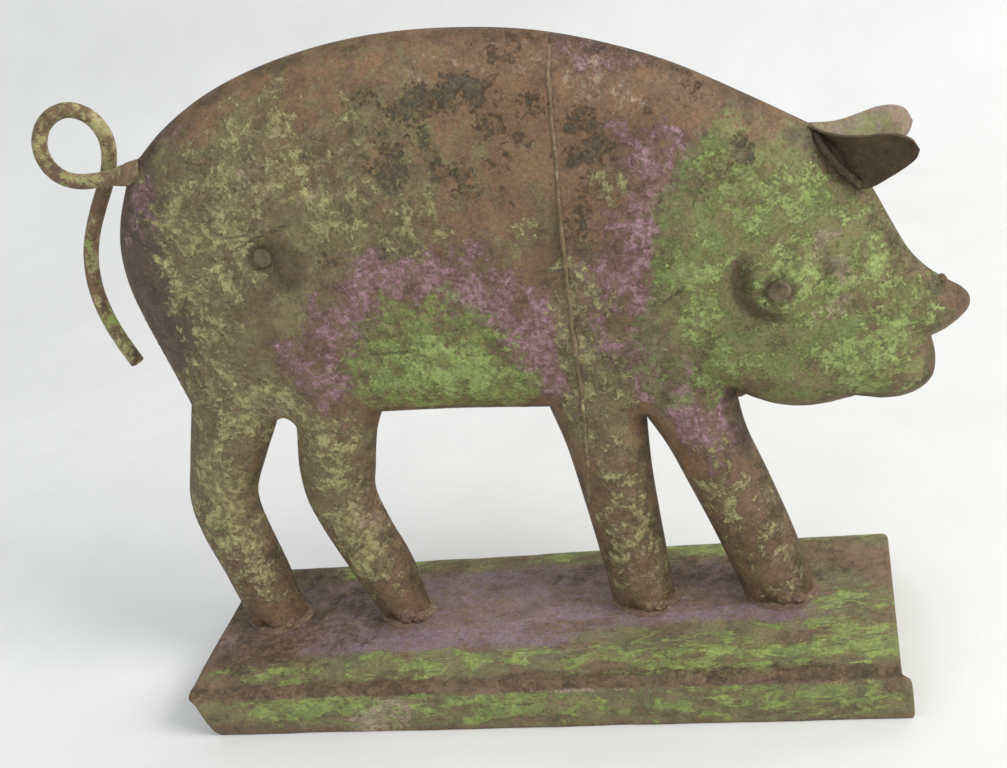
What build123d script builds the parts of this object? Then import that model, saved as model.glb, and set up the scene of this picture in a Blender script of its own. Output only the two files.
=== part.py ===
from build123d import *
import math
import os

import numpy as np

# A hollow pig made of two closed sheet-metal sides, welded by its four feet to a low folded tray.
# Millimetres, +Z up, +X from the tail to the snout, -Y the near side.
# The origin is on the surface it stands on, under the middle of the whole object.

# ---------------------------------------------------------------- driving dimensions
BASE_LENGTH = 230.0
BASE_WIDTH = 70.0
BASE_HEIGHT = 18.5
BASE_SHEET = 1.0
BASE_X = -9.8             # middle of the tray's length; the snout overhangs further than the tail
FIGURE_Y = 5.0            # the figure's closing plane lies a little behind the tray's middle
SHEET = 0.8               # side panels and ears
LIP = 1.4                 # half of the thickness of the closed rim
RIM_CONTACT = 1.0         # extra width over which the two rims touch
LEG_ROLL = 10.5           # distance from the outline over which a leg's face rolls up
BODY_ROLL = 17.0          # the same on the body
LEG_RISE = 7.2            # rise of a leg's face above the lip
BODY_RISE = 8.0
BODY_CROWN = 2.5          # further gentle bulge towards the middle of the body
ROLL_POWER = 2.2          # shape of the roll, 2 is a parabola
EYE = (91.2, 130.0)       # middle of the eye bulge, along and up
EYE_RADIUS = 11.5
EYE_RISE = 4.4
HAUNCH = (-52.6, 156.1)   # rivet through both sides at the haunch
RIVET_SHANK = 1.5
TAIL_ROD = 4.76           # 3/16 inch rod
SEAM_WIDTH = 1.3
SEAM_RISE = 0.55
GRID_STEP = 4.0           # spacing of the points that the skins are fitted through
SKIN_FIT = 0.3            # how closely a skin passes by them

# ---------------------------------------------------------------- frames
FIGURE = Plane(origin=(BASE_X, FIGURE_Y, 0), x_dir=(1, 0, 0), z_dir=(0, -1, 0))
SKIN_DEPTH = 40.0         # deeper than any skin, for blocks that lie under one
ROOM = 30.0               # wider than half of the figure

os.makedirs("parts", exist_ok=True)


def save(part, label):
    """Label one piece and write it."""
    part.label = label
    export_step(part, f"parts/{label}.step")


# ---------------------------------------------------------------- the side view
SHIN = 40.0               # from here down each edge of a leg is straight
FOOT = BASE_HEIGHT        # the legs end on the tray

# Each edge of a leg: its place at SHIN and at FOOT, from the tail to the snout.
HIND_LEFT = ((-108.5, -105.6), (-85.2, -83.8))
HIND_RIGHT = ((-62.8, -56.2), (-40.0, -38.4))
FRONT_LEFT = ((24.0, 25.0), (45.2, 45.2))
FRONT_RIGHT = ((62.3, 67.5), (85.6, 89.2))


def leg_end(edge, level):
    """The point where the straight lower part of a leg's edge reaches a level."""
    at_shin, at_foot = edge
    share = (SHIN - level) / (SHIN - FOOT)
    return (at_shin + (at_foot - at_shin) * share, level)


def leg_sole(leg, level):
    """Down one straight edge of a leg, across its sole and up the other."""
    left, right = leg
    Line((left[0], SHIN), leg_end(left, level))
    Line(leg_end(left, level), leg_end(right, level))
    Line(leg_end(right, level), (right[0], SHIN))


def figure_outline(level):
    """Closed side view of the sheet, with the legs ending at a level."""
    rump_notch = (-97.8, 106.0)
    tail_root = (-92.0, 181.2)
    back_start = (-87.0, 186.6)
    poll = (104.0, 168.0)
    lip_notch = (129.3, 104.0)
    chin_cusp = (107.5, 87.2)
    throat = (74.2, 92.6)
    fork_front = (47.0, 86.8)
    belly_front = (18.5, 92.8)
    belly_rear = (-35.0, 96.6)
    Spline(rump_notch, (-100.3, 122), (-102.8, 138), (-103.6, 150), (-102.0, 161), (-98.3, 170.5), tail_root)
    Line(tail_root, back_start)
    Spline(
        back_start, (-76, 194.4), (-62, 201.4), (-45, 206.6), (-25, 209.8), (-5, 210.5), (15, 208.7),
        (35, 204.8), (53, 198.6), (70, 190.5), (88, 179), poll,
    )
    Spline(poll, (111.5, 159.5), (117, 149.5), (121.5, 138.5), (125.5, 129.5), (130, 123.6), (136.5, 118.8))
    ThreePointArc((136.5, 118.8), (140.1, 114), (136.5, 108.2))
    Spline((136.5, 108.2), (133, 105.7), lip_notch)
    Spline(lip_notch, (130, 97.5), (128.6, 91), (124, 87), (117, 85.6), chin_cusp)
    Spline(chin_cusp, (101, 85.9), (94, 85.3), (86, 86.6), (80, 89.2), throat)
    Spline(throat, (75.6, 79.5), (80, 63), (FRONT_RIGHT[1][0], SHIN))
    leg_sole(FRONT_RIGHT, level)
    Spline((FRONT_RIGHT[0][0], SHIN), (56, 62), (51.5, 76.5), fork_front)
    Spline(fork_front, (45.6, 68), (FRONT_LEFT[1][0], SHIN))
    leg_sole(FRONT_LEFT, level)
    Spline((FRONT_LEFT[0][0], SHIN), (22.8, 58), (21, 79), belly_front)
    Spline(belly_front, (-10, 95.3), belly_rear)
    Spline(belly_rear, (-38.5, 90), (-43, 76), (-45.2, 67.5), (-43.4, 54), (HIND_RIGHT[1][0], SHIN))
    leg_sole(HIND_RIGHT, level)
    Spline((HIND_RIGHT[0][0], SHIN), (-67.5, 57), (-69.2, 67.5), (-68.3, 79), (-65, 92.5))
    ThreePointArc((-65, 92.5), (-67.8, 97.5), (-72, 95))
    Spline((-72, 95), (-79, 84), (-86.3, 71), (-87.3, 63), (HIND_LEFT[1][0], SHIN))
    leg_sole(HIND_LEFT, level)
    Spline((HIND_LEFT[0][0], SHIN), (-111.2, 57), (-111, 70), (-106, 84.5), rump_notch)


# ---------------------------------------------------------------- the skins
BELOW = -14.0             # the rolled edges run on below the soles, which are cut straight
SAMPLES = 1100


def rolled_edges():
    """Short segments along every edge that the sheet rolls up from, which leaves out the soles."""
    with BuildSketch() as view:
        with BuildLine():
            figure_outline(BELOW)
        make_face()
    wire = view.sketch.faces()[0].outer_wire()
    points = [wire.position_at(i / SAMPLES) for i in range(SAMPLES)]
    loop = np.array([(p.X, p.Y) for p in points])
    return loop, np.roll(loop, -1, axis=0)


def inside(x, y, start, end):
    """True where a point lies inside the loop, by counting crossings."""
    crosses = (start[:, 1] > y) != (end[:, 1] > y)
    rise = np.where(end[:, 1] == start[:, 1], 1.0, end[:, 1] - start[:, 1])
    reach = start[:, 0] + (y - start[:, 1]) / rise * (end[:, 0] - start[:, 0])
    return np.count_nonzero(crosses & (x < reach)) % 2 == 1


def edge_distance(x, y, start, end):
    """Distance inside the outline, negative outside it."""
    rolled = (start[:, 1] > BELOW + 1) | (end[:, 1] > BELOW + 1)
    a, b = start[rolled], end[rolled]
    along = b - a
    share = ((x - a[:, 0]) * along[:, 0] + (y - a[:, 1]) * along[:, 1]) / (along**2).sum(axis=1)
    near = a + along * np.clip(share, 0, 1)[:, None]
    distance = np.hypot(near[:, 0] - x, near[:, 1] - y).min()
    return distance if inside(x, y, start, end) else -distance


def smooth(low, high, value):
    """0 below low, 1 above high, and a smooth step between."""
    t = min(max((value - low) / (high - low), 0.0), 1.0)
    return t * t * (3 - 2 * t)


def face_height(distance, x, y):
    """Height of the outer face above the closing plane, and its slope across the edge."""
    body = smooth(70, 120, y)
    roll = LEG_ROLL + (BODY_ROLL - LEG_ROLL) * body
    rise = LEG_RISE + (BODY_RISE - LEG_RISE) * body
    t = min(max(distance / roll, -0.5), 1.0)
    height = LIP + rise * (1 - (1 - t) ** ROLL_POWER)
    slope = rise * ROLL_POWER / roll * (1 - t) ** (ROLL_POWER - 1)
    height += BODY_CROWN * smooth(10, 42, distance)
    from_eye = math.dist((x, y), EYE) / EYE_RADIUS
    if from_eye < 1:
        height += EYE_RISE * (1 - from_eye**2) ** 1.5
    return height, slope


def outer_face(distance, x, y):
    return face_height(distance, x, y)[0]


def inner_face(distance, x, y):
    height, slope = face_height(distance - RIM_CONTACT, x, y)
    return height - SHEET * math.hypot(1, slope)


def seam_face(distance, x, y):
    return face_height(distance, x, y)[0] + SEAM_RISE


X_RANGE = (-124.0, 153.0)
Y_RANGE = (6.0, 222.0)
LOWEST = -7.0             # the skins level out this far below the closing plane, outside the outline


def grid():
    """Distances from the outline on a regular grid over the side view."""
    start, end = rolled_edges()
    columns = int((X_RANGE[1] - X_RANGE[0]) / GRID_STEP)
    rows = int((Y_RANGE[1] - Y_RANGE[0]) / GRID_STEP)
    table = []
    for i in range(columns + 1):
        x = X_RANGE[0] + i * GRID_STEP
        column = [Y_RANGE[0] + j * GRID_STEP for j in range(rows + 1)]
        table.append([(x, y, edge_distance(x, y, start, end)) for y in column])
    return table


DISTANCES = grid()


def soften(heights):
    """One pass of a 1-2-1 blur both ways, which rounds the creases between neighbouring edges."""
    for axis in (0, 1):
        heights = (np.roll(heights, 1, axis) + 2 * heights + np.roll(heights, -1, axis)) / 4
    return heights


def block_under(face):
    """A block whose near side is a skin over the whole side view."""
    heights = soften(np.array([[max(face(distance, x, y), LOWEST) for x, y, distance in column]
                               for column in DISTANCES]))
    points = [
        [FIGURE.from_local_coords(Vector(x, y, height)) for (x, y, _), height in zip(column, row)]
        for column, row in zip(DISTANCES, heights)
    ]
    skin = Face.make_surface_from_array_of_points(points, tol=SKIN_FIT, min_deg=3, max_deg=3)
    with BuildPart() as block:
        extrude(skin, amount=SKIN_DEPTH, dir=(0, 1, 0))
    return block.part


UNDER_OUTER = block_under(outer_face)
UNDER_INNER = block_under(inner_face)
UNDER_SEAM = block_under(seam_face)


def outline_prism(mode_block=None):
    """The side view extruded from the closing plane to the near side, then kept under a skin."""
    with BuildPart() as prism:
        with BuildSketch(FIGURE):
            with BuildLine():
                figure_outline(FOOT)
            make_face()
        extrude(amount=ROOM)
        if mode_block is not None:
            add(mode_block, mode=Mode.INTERSECT)
    return prism.part


NEAR_SOLID = outline_prism(UNDER_OUTER)
NEAR_HOLLOW = outline_prism(UNDER_INNER)

with BuildPart() as figure_solid:
    add(NEAR_SOLID)
    mirror(NEAR_SOLID, about=FIGURE)
FIGURE_SOLID = figure_solid.part

with BuildPart() as near_shell:
    add(NEAR_SOLID)
    add(NEAR_HOLLOW, mode=Mode.SUBTRACT)

# ---------------------------------------------------------------- tail
TAIL_ROOT = (-83.0, 183.5)
# Corners of the bent rod: along, up, and how far behind the closing plane.
TAIL_CORNERS = [
    (-83.0, 183.5, 0.0), (-98.5, 182.9, 0.0), (-109.5, 183.2, 0.1), (-116.2, 187.6, 0.8), (-117.9, 195.2, 1.6),
    (-113.2, 202.5, 2.4), (-105.0, 204.9, 3.3), (-98.4, 200.9, 4.2), (-96.3, 192.6, 5.0), (-100.8, 182.4, 5.4),
    (-109.2, 171.6, 5.0), (-116.0, 160.0, 4.2), (-118.6, 147.0, 3.2), (-117.0, 134.0, 2.3), (-112.6, 121.8, 1.6),
]


def tail_point(corner):
    along, up, behind = corner
    return Vector(BASE_X + along, FIGURE_Y + behind, up)


def bend_radii(points):
    """For each corner, a bend that takes up 0.45 of the shorter of its two runs."""
    radii = []
    for before, corner, after in zip(points, points[1:], points[2:]):
        turn = (corner - before).get_angle(after - corner)
        run = min((corner - before).length, (after - corner).length)
        radii.append(0.45 * run / math.tan(math.radians(turn / 2)))
    return radii


tail_route = [tail_point(corner) for corner in TAIL_CORNERS]
with BuildPart() as tail_wire:
    with BuildLine() as tail_line:
        FilletPolyline(*tail_route, radius=bend_radii(tail_route))
    with BuildSketch(Plane(origin=tail_line.line @ 0, z_dir=tail_line.line % 0)):
        Circle(TAIL_ROD / 2)
    sweep()
save(tail_wire.part, "tail_wire")

BRAZE_LENGTH = 11.0
with BuildPart() as tail_braze:
    with BuildSketch(Plane(origin=tail_point((-85.5, 183.4, 0)), z_dir=(-1, 0, 0))):
        Circle(4.6)
    with BuildSketch(Plane(origin=tail_point((-85.5 - BRAZE_LENGTH, 183.0, 0)), z_dir=(-1, 0, 0))):
        Circle(TAIL_ROD / 2 + 0.25)
    loft()
    add(FIGURE_SOLID, mode=Mode.SUBTRACT)
    add(tail_wire.part, mode=Mode.SUBTRACT)
save(tail_braze.part, "tail_braze")

# ---------------------------------------------------------------- rivets
HEAD_RISE = 1.3
HEAD_SEAT = 0.4           # the heads bed this far into the skin


def skin_height(place):
    """Height of the outer face at a place on the side view."""
    start, end = rolled_edges()
    return outer_face(edge_distance(*place, start, end), *place)


def through_rivet(place, head_radius):
    """A shank through both sides with a domed head on each."""
    skin = skin_height(place)
    seat = skin - HEAD_SEAT
    ball = (head_radius**2 + HEAD_RISE**2) / (2 * HEAD_RISE)
    ball_height = skin + HEAD_RISE - ball
    with BuildPart() as rivet:
        with Locations(*[FIGURE.from_local_coords(Vector(*place, side * ball_height)) for side in (1, -1)]):
            Sphere(ball)
        with BuildSketch(FIGURE.offset(-seat)):
            with Locations(place):
                Circle(2 * ball)
        extrude(amount=2 * seat, mode=Mode.SUBTRACT)
        with BuildSketch(FIGURE.offset(-seat)):
            with Locations(place):
                Circle(RIVET_SHANK)
        extrude(amount=2 * seat)
    return rivet.part


EYE_RIVET_RADIUS = 3.2
HAUNCH_RIVET_RADIUS = 3.6
eye_rivet = through_rivet(EYE, EYE_RIVET_RADIUS)
rump_rivet = through_rivet(HAUNCH, HAUNCH_RIVET_RADIUS)
save(eye_rivet, "eye_rivet")
save(rump_rivet, "rump_rivet")


# ---------------------------------------------------------------- side panels
def seam_line():
    """The joint between the rear and the front sheet, from above the back to past the leg's edge."""
    Spline(
        (41.6, 214), (40.4, 200), (39.2, 186), (37.6, 170), (35.8, 152), (34, 134), (32.6, 118), (31.2, 102),
        (29.6, 88), (27.2, 71), (22.5, 50), (20.5, 44),
    )


with BuildPart() as rear_region:
    with BuildSketch(FIGURE):
        with BuildLine():
            seam_line()
            Polyline((20.5, 44), (5, 44), (5, 5), (-130, 5), (-130, 225), (41.6, 225), (41.6, 214))
        make_face()
    extrude(amount=ROOM)

with BuildPart() as near_rear_panel:
    add(near_shell.part)
    add(rear_region.part, mode=Mode.INTERSECT)
    add(tail_wire.part, mode=Mode.SUBTRACT)
    add(rump_rivet, mode=Mode.SUBTRACT)
save(near_rear_panel.part, "near_rear_panel")

with BuildPart() as near_front_panel:
    add(near_shell.part)
    add(rear_region.part, mode=Mode.SUBTRACT)
    add(eye_rivet, mode=Mode.SUBTRACT)
save(near_front_panel.part, "near_front_panel")

with BuildPart() as far_side_panel:
    mirror(near_shell.part, about=FIGURE)
    for fastener in (tail_wire.part, rump_rivet, eye_rivet):
        add(fastener, mode=Mode.SUBTRACT)
save(far_side_panel.part, "far_side_panel")

with BuildPart() as near_side_seam:
    with BuildSketch(FIGURE):
        with BuildLine() as seam:
            seam_line()
        trace(line_width=SEAM_WIDTH)
    extrude(amount=ROOM)
    add(outline_prism(UNDER_SEAM), mode=Mode.INTERSECT)
    add(NEAR_SOLID, mode=Mode.SUBTRACT)
save(near_side_seam.part, "near_side_seam")

# ---------------------------------------------------------------- tacks on the closed rim
TACK_RADIUS = 1.7
TACKS = [(74.6, 91.6), (133.2, 121.6)]
with BuildPart() as edge_tack_welds:
    with Locations(*[FIGURE.from_local_coords(Vector(*place, 0)) for place in TACKS]):
        Sphere(TACK_RADIUS)
    add(FIGURE_SOLID, mode=Mode.SUBTRACT)
save(edge_tack_welds.part, "edge_tack_welds")

# ---------------------------------------------------------------- ears
EAR_TOP = (103.2, 168.2, 1.6)       # root by the poll: along, up, towards the near side
EAR_LOW = (113.5, 150.5, 4.2)       # root at the brow
EAR_TIP = (130.0, 160.0, 10.5)
EAR_CUP = 24.0                      # radius of the cupped sheet


def near_point(place):
    return FIGURE.from_local_coords(Vector(*place))


def ear_plane():
    """Plane of the ear's leaf: x from the poll to the tip, z out of the near side."""
    top, low, tip = (near_point(p) for p in (EAR_TOP, EAR_LOW, EAR_TIP))
    normal = (tip - top).cross(low - top).normalized()
    return Plane(origin=top, x_dir=tip - top, z_dir=-normal)


EAR = ear_plane()
EAR_LENGTH = (near_point(EAR_TIP) - near_point(EAR_TOP)).length
ROOT_DEPTH = 3.5                    # the leaf is cut from its root into the panel before trimming


def ear_leaf():
    """Outline of the leaf in its plane, running in under the panel at its root."""
    low = EAR.to_local_coords(near_point(EAR_LOW))
    Spline((0, 0.6), (0.36 * EAR_LENGTH, 3.9), (0.72 * EAR_LENGTH, 4.6), (EAR_LENGTH, 0),
           (0.9 * EAR_LENGTH, -6.2), (0.66 * EAR_LENGTH, -11.6), (low.X, low.Y))
    Polyline((low.X, low.Y), (low.X - ROOT_DEPTH, low.Y + 1), (-ROOT_DEPTH, 0.6), (0, 0.6))


CUP_AXIS = EAR.from_local_coords(Vector(-10, -4.5, EAR_CUP - 2.2))
EAR_GAP = 0.5                       # the two ears stay this far off the closing plane
with BuildPart() as near_ear:
    with BuildSketch(EAR.offset(-8)):
        with BuildLine():
            ear_leaf()
        make_face()
    extrude(amount=16)
    with BuildSketch(Plane(origin=CUP_AXIS, x_dir=EAR.y_dir, z_dir=EAR.x_dir)):
        Circle(EAR_CUP)
        Circle(EAR_CUP - SHEET, mode=Mode.SUBTRACT)
    extrude(amount=EAR_LENGTH + 20, mode=Mode.INTERSECT)
    add(FIGURE_SOLID, mode=Mode.SUBTRACT)
    split(bisect_by=FIGURE.offset(EAR_GAP), keep=Keep.TOP)
save(near_ear.part, "near_ear")

with BuildPart() as far_ear:
    mirror(near_ear.part, about=FIGURE)
save(far_ear.part, "far_ear")

EAR_BEAD = 1.5
bead_low = EAR.to_local_coords(near_point(EAR_LOW))
with BuildPart() as near_ear_weld:
    with BuildLine() as bead_line:
        Line(EAR.from_local_coords(Vector(1.0, -0.8, -1.2)),
             EAR.from_local_coords(Vector(bead_low.X - 0.6, bead_low.Y + 1.2, -1.2)))
    with BuildSketch(Plane(origin=bead_line.line @ 0, z_dir=bead_line.line % 0)):
        Circle(EAR_BEAD)
    sweep()
    add(FIGURE_SOLID, mode=Mode.SUBTRACT)
    add(near_ear.part, mode=Mode.SUBTRACT)
    split(bisect_by=FIGURE.offset(EAR_GAP), keep=Keep.TOP)
save(near_ear_weld.part, "near_ear_weld")

with BuildPart() as far_ear_weld:
    mirror(near_ear_weld.part, about=FIGURE)
save(far_ear_weld.part, "far_ear_weld")

# ---------------------------------------------------------------- folded tray
BEND = 3.0
SKIRT_BULGE = 0.7


def tray_profile():
    """Closed section across the tray, running on below the floor."""
    half = BASE_WIDTH / 2
    knee = BASE_HEIGHT - BEND
    Line((-half + BEND, BASE_HEIGHT), (half - BEND, BASE_HEIGHT))
    for side in (1, -1):
        corner = (side * (half - SKIRT_BULGE), knee)
        middle = side * half
        foot = (side * (half - SKIRT_BULGE), -knee * 0.1)
        bend_middle = (side * (half - BEND + (BEND - SKIRT_BULGE) * 0.75), BASE_HEIGHT - BEND * 0.3)
        ThreePointArc((side * (half - BEND), BASE_HEIGHT), bend_middle, corner)
        ThreePointArc(corner, (middle, knee * 0.45), foot)
        Line(foot, (foot[0], -10))
    Line((-half + SKIRT_BULGE, -10), (half - SKIRT_BULGE, -10))


END = Plane(origin=(BASE_X - BASE_LENGTH / 2, 0, 0), x_dir=(0, 1, 0), z_dir=(1, 0, 0))
with BuildSketch(END) as tray_section:
    with BuildLine():
        tray_profile()
    make_face()
    with Locations((0, -10)):
        Rectangle(2 * BASE_WIDTH, 20, mode=Mode.SUBTRACT)
with BuildSketch(END) as tray_inside:
    with BuildLine():
        tray_profile()
    make_face()
    offset(amount=-BASE_SHEET, mode=Mode.REPLACE)
    with Locations((0, -10)):
        Rectangle(2 * BASE_WIDTH, 20, mode=Mode.SUBTRACT)

ALONG = (1, 0, 0)
with BuildPart() as base_sheet:
    extrude(tray_section.sketch, amount=BASE_LENGTH, dir=ALONG)
    extrude(tray_inside.sketch, amount=BASE_LENGTH, dir=ALONG, mode=Mode.SUBTRACT)
save(base_sheet.part, "base_sheet")

for end_name, start in (("base_left_end", 0.0), ("base_right_end", BASE_LENGTH - BASE_SHEET)):
    with BuildPart() as end_strip:
        extrude(tray_inside.sketch.moved(Location((start, 0, 0))), amount=BASE_SHEET, dir=ALONG)
    save(end_strip.part, end_name)

# ---------------------------------------------------------------- foot welds
WELD_WIDTH = 1.8
WELD_HEIGHT = 1.8
FEET = {
    "hind_left_foot_weld": HIND_LEFT, "hind_right_foot_weld": HIND_RIGHT,
    "front_left_foot_weld": FRONT_LEFT, "front_right_foot_weld": FRONT_RIGHT,
}
for weld_name, leg in FEET.items():
    left, right = leg[0][1], leg[1][1]
    with BuildPart() as foot_weld:
        with BuildSketch(Plane.XY.offset(BASE_HEIGHT)):
            with Locations((BASE_X + (left + right) / 2, FIGURE_Y)):
                Ellipse((right - left) / 2 + WELD_WIDTH, LIP + LEG_RISE + WELD_WIDTH)
        extrude(amount=WELD_HEIGHT, taper=30)
        add(FIGURE_SOLID, mode=Mode.SUBTRACT)
    save(foot_weld.part, weld_name)
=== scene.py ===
import math

import bmesh
import bpy
import numpy as np
from mathutils import Matrix, Vector, noise
from mathutils.geometry import delaunay_2d_cdt


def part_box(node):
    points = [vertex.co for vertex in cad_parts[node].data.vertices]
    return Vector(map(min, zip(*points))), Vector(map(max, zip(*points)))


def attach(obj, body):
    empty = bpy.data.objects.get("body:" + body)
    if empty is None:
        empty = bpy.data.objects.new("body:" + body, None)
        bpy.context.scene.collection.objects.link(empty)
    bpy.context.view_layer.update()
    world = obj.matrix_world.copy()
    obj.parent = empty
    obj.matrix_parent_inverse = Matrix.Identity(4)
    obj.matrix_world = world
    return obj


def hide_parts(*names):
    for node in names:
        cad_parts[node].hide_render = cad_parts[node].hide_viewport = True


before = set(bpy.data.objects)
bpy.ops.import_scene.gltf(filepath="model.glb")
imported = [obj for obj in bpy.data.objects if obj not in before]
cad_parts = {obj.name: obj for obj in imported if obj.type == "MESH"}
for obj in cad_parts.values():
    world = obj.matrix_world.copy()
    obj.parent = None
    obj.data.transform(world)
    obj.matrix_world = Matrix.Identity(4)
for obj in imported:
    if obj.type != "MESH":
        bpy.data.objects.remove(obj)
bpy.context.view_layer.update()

# The figure is worked out in millimetres, as (along, up) in its side view and a height above the plane
# on which its two sides close. along is measured from the middle of the tray, as the frame gives it.
MM = 0.001
LEFT_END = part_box("base_left_end")
RIGHT_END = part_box("base_right_end")
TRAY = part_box("base_sheet")
BASE_X = (LEFT_END[0].x + RIGHT_END[1].x) / 2 / MM
FIGURE_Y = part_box("far_side_panel")[0].y / MM
TRAY_TOP = TRAY[1].z / MM
TRAY_HALF_LENGTH = (TRAY[1].x - TRAY[0].x) / 2 / MM
TRAY_HALF_WIDTH = (TRAY[1].y - TRAY[0].y) / 2 / MM

NEAR, FAR = -1, 1         # which way a side faces along Y


def smooth(low, high, value):
    """0 below low, 1 above high, and a smooth step between. low may be above high."""
    t = np.clip((np.asarray(value, float) - low) / (high - low), 0, 1)
    return t * t * (3 - 2 * t)


def ripple(x, y, size, seed, detail=3):
    """Smooth noise from about -1 to 1, for arrays of places in millimetres."""
    x, y = np.broadcast_arrays(np.asarray(x, float), np.asarray(y, float))
    flat = [
        noise.fractal(Vector((a / size, b / size, seed)), 0.6, 2.1, detail)
        for a, b in zip(x.ravel(), y.ravel())
    ]
    return np.array(flat).reshape(x.shape)


def unit(rows):
    """Each row made one long."""
    return rows / np.linalg.norm(rows, axis=-1, keepdims=True)


def metres(along, far, up):
    """Points in the scene, in metres, from millimetres along the tray, towards the far side and up."""
    return np.stack(np.broadcast_arrays(BASE_X + along, far, up), -1) * MM


def place(along, up, height, side):
    """Points in the scene, in metres, from the side view and a height above the closing plane."""
    return metres(along, FIGURE_Y + side * height, up)


# -------- curves
def spline(points, step=1.0):
    """A centripetal Catmull-Rom curve through points, sampled about every step."""
    p = np.array(points, float)
    if len(p) == 2:
        count = max(int(np.linalg.norm(p[1] - p[0]) / step), 1)
        return p[0] + (p[1] - p[0]) * np.linspace(0, 1, count + 1)[:, None]
    p = np.vstack([2 * p[0] - p[1], p, 2 * p[-1] - p[-2]])
    out = [p[1]]
    for a, b, c, d in zip(p, p[1:], p[2:], p[3:]):
        k0 = np.linalg.norm(b - a) ** 0.5
        k1 = k0 + np.linalg.norm(c - b) ** 0.5
        k2 = k1 + np.linalg.norm(d - c) ** 0.5
        count = max(int(round(np.linalg.norm(c - b) / step)), 1)
        for t in k0 + (k1 - k0) * np.arange(1, count + 1) / count:
            ab = a + (b - a) * t / k0
            bc = b + (c - b) * (t - k0) / (k1 - k0)
            cd = c + (d - c) * (t - k1) / (k2 - k1)
            abc = ab + (bc - ab) * t / k1
            bcd = bc + (cd - bc) * (t - k0) / (k2 - k0)
            out.append(abc + (bcd - abc) * (t - k0) / (k1 - k0))
    return np.array(out)


def arc(a, b, c, step=1.0):
    """The circular arc from a through b to c."""
    a, b, c = (np.array(p, float) for p in (a, b, c))
    rows = np.array([b - a, c - a])
    centre = np.linalg.solve(2 * rows, [b @ b - a @ a, c @ c - a @ a])
    start, middle, end = (math.atan2(*(p - centre)[::-1]) for p in (a, b, c))
    turn = (end - start) % math.tau
    if (middle - start) % math.tau > turn:
        turn -= math.tau
    radius = np.linalg.norm(a - centre)
    angles = start + turn * np.linspace(0, 1, max(int(abs(turn) * radius / step), 3) + 1)
    return centre + radius * np.stack([np.cos(angles), np.sin(angles)], -1)


# -------- the side view
SHIN = 40.0
# Each leg's left and right edge, at the shin and at the foot.
LEGS = {
    "hind_left": ((-108.5, -105.6), (-85.2, -83.8)),
    "hind_right": ((-62.8, -56.2), (-40.0, -38.4)),
    "front_left": ((24.0, 25.0), (45.2, 45.2)),
    "front_right": ((62.3, 67.5), (85.6, 89.2)),
}


def leg_outline(name, down, up):
    """One leg's edge: down its right side, across its sole and up its left side."""
    (left, heel), (right, toe) = LEGS[name]
    toe, heel = (toe, TRAY_TOP), (heel, TRAY_TOP)
    return [spline([*down, (right, SHIN), toe]), spline([toe, heel]), spline([heel, (left, SHIN), *up])]


def outline_pieces():
    """The side view's edge in order round it, corner to corner. A sole is a piece of its own."""
    rump_notch = (-97.8, 106.0)
    tail_root = (-92.0, 181.2)
    back_start = (-87.0, 186.6)
    poll = (104.0, 168.0)
    snout_top = (135.0, 119.4)
    snout_under = (136.5, 108.2)
    lip_notch = (129.3, 104.0)
    chin_cusp = (107.5, 87.2)
    throat = (74.2, 92.6)
    fork_front = (47.0, 86.8)
    belly_front = (18.5, 92.8)
    belly_rear = (-35.0, 96.6)
    crotch_right, crotch_top, crotch_left = (-65, 92.5), (-67.8, 97.5), (-72, 95)
    body = [
        [rump_notch, (-100.3, 122), (-102.8, 138), (-103.6, 150), (-102, 161), (-98.3, 170.5), tail_root],
        [tail_root, back_start],
        [back_start, (-76, 194.4), (-62, 201.4), (-45, 206.6), (-25, 209.8), (-5, 210.5), (15, 208.7),
         (35, 204.8), (53, 198.6), (70, 190.5), (88, 179), poll],
        [poll, (111.5, 159.5), (117, 149.5), (121.5, 138.5), (125.5, 129.5), (130, 123.6), snout_top],
        [snout_top, (138.2, 116.9), (139.9, 114.2), (139.2, 111.2), snout_under],
        [snout_under, (133, 105.7), lip_notch],
        [lip_notch, (130, 97.5), (128.6, 91), (124, 87), (117, 85.6), chin_cusp],
        [chin_cusp, (101, 85.9), (94, 85.3), (86, 86.6), (80, 89.2), throat],
    ]
    return [
        *(spline(line) for line in body),
        *leg_outline("front_right", [throat, (75.6, 79.5), (80, 63)], [(56, 62), (51.5, 76.5), fork_front]),
        *leg_outline("front_left", [fork_front, (45.6, 68)], [(22.8, 58), (21, 79), belly_front]),
        spline([belly_front, (-10, 95.3), belly_rear]),
        *leg_outline("hind_right", [belly_rear, (-38.5, 90), (-43, 76), (-45.2, 67.5), (-43.4, 54)],
                     [(-67.5, 57), (-69.2, 67.5), (-68.3, 79), crotch_right]),
        arc(crotch_right, crotch_top, crotch_left),
        *leg_outline("hind_left", [crotch_left, (-79, 84), (-86.3, 71), (-87.3, 63)],
                     [(-111.2, 57), (-111, 70), (-106, 84.5), rump_notch]),
    ]


def outline_loop():
    """Every point of the outline once, and which points start a segment of a sole."""
    points, sole = [], []
    for line in outline_pieces():
        points.extend(line[:-1])
        flat = np.ptp(line[:, 1]) < 1e-6 and line[0, 1] < SHIN
        sole.extend([flat] * (len(line) - 1))
    return np.array(points), np.array(sole)


OUTLINE, ON_SOLE = outline_loop()
FOLLOWING = np.roll(OUTLINE, -1, axis=0)
SEAM = spline([
    (41.6, 214), (40.4, 200), (39.2, 186), (37.6, 170), (35.8, 152), (34, 134), (32.6, 118), (31.2, 102),
    (29.6, 88), (27.2, 71), (22.5, 50), (20.5, 44),
], 1.2)


def seam_at(up):
    """How far along the seam lies, at heights in the side view."""
    return np.interp(up, SEAM[::-1, 1], SEAM[::-1, 0])


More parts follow.
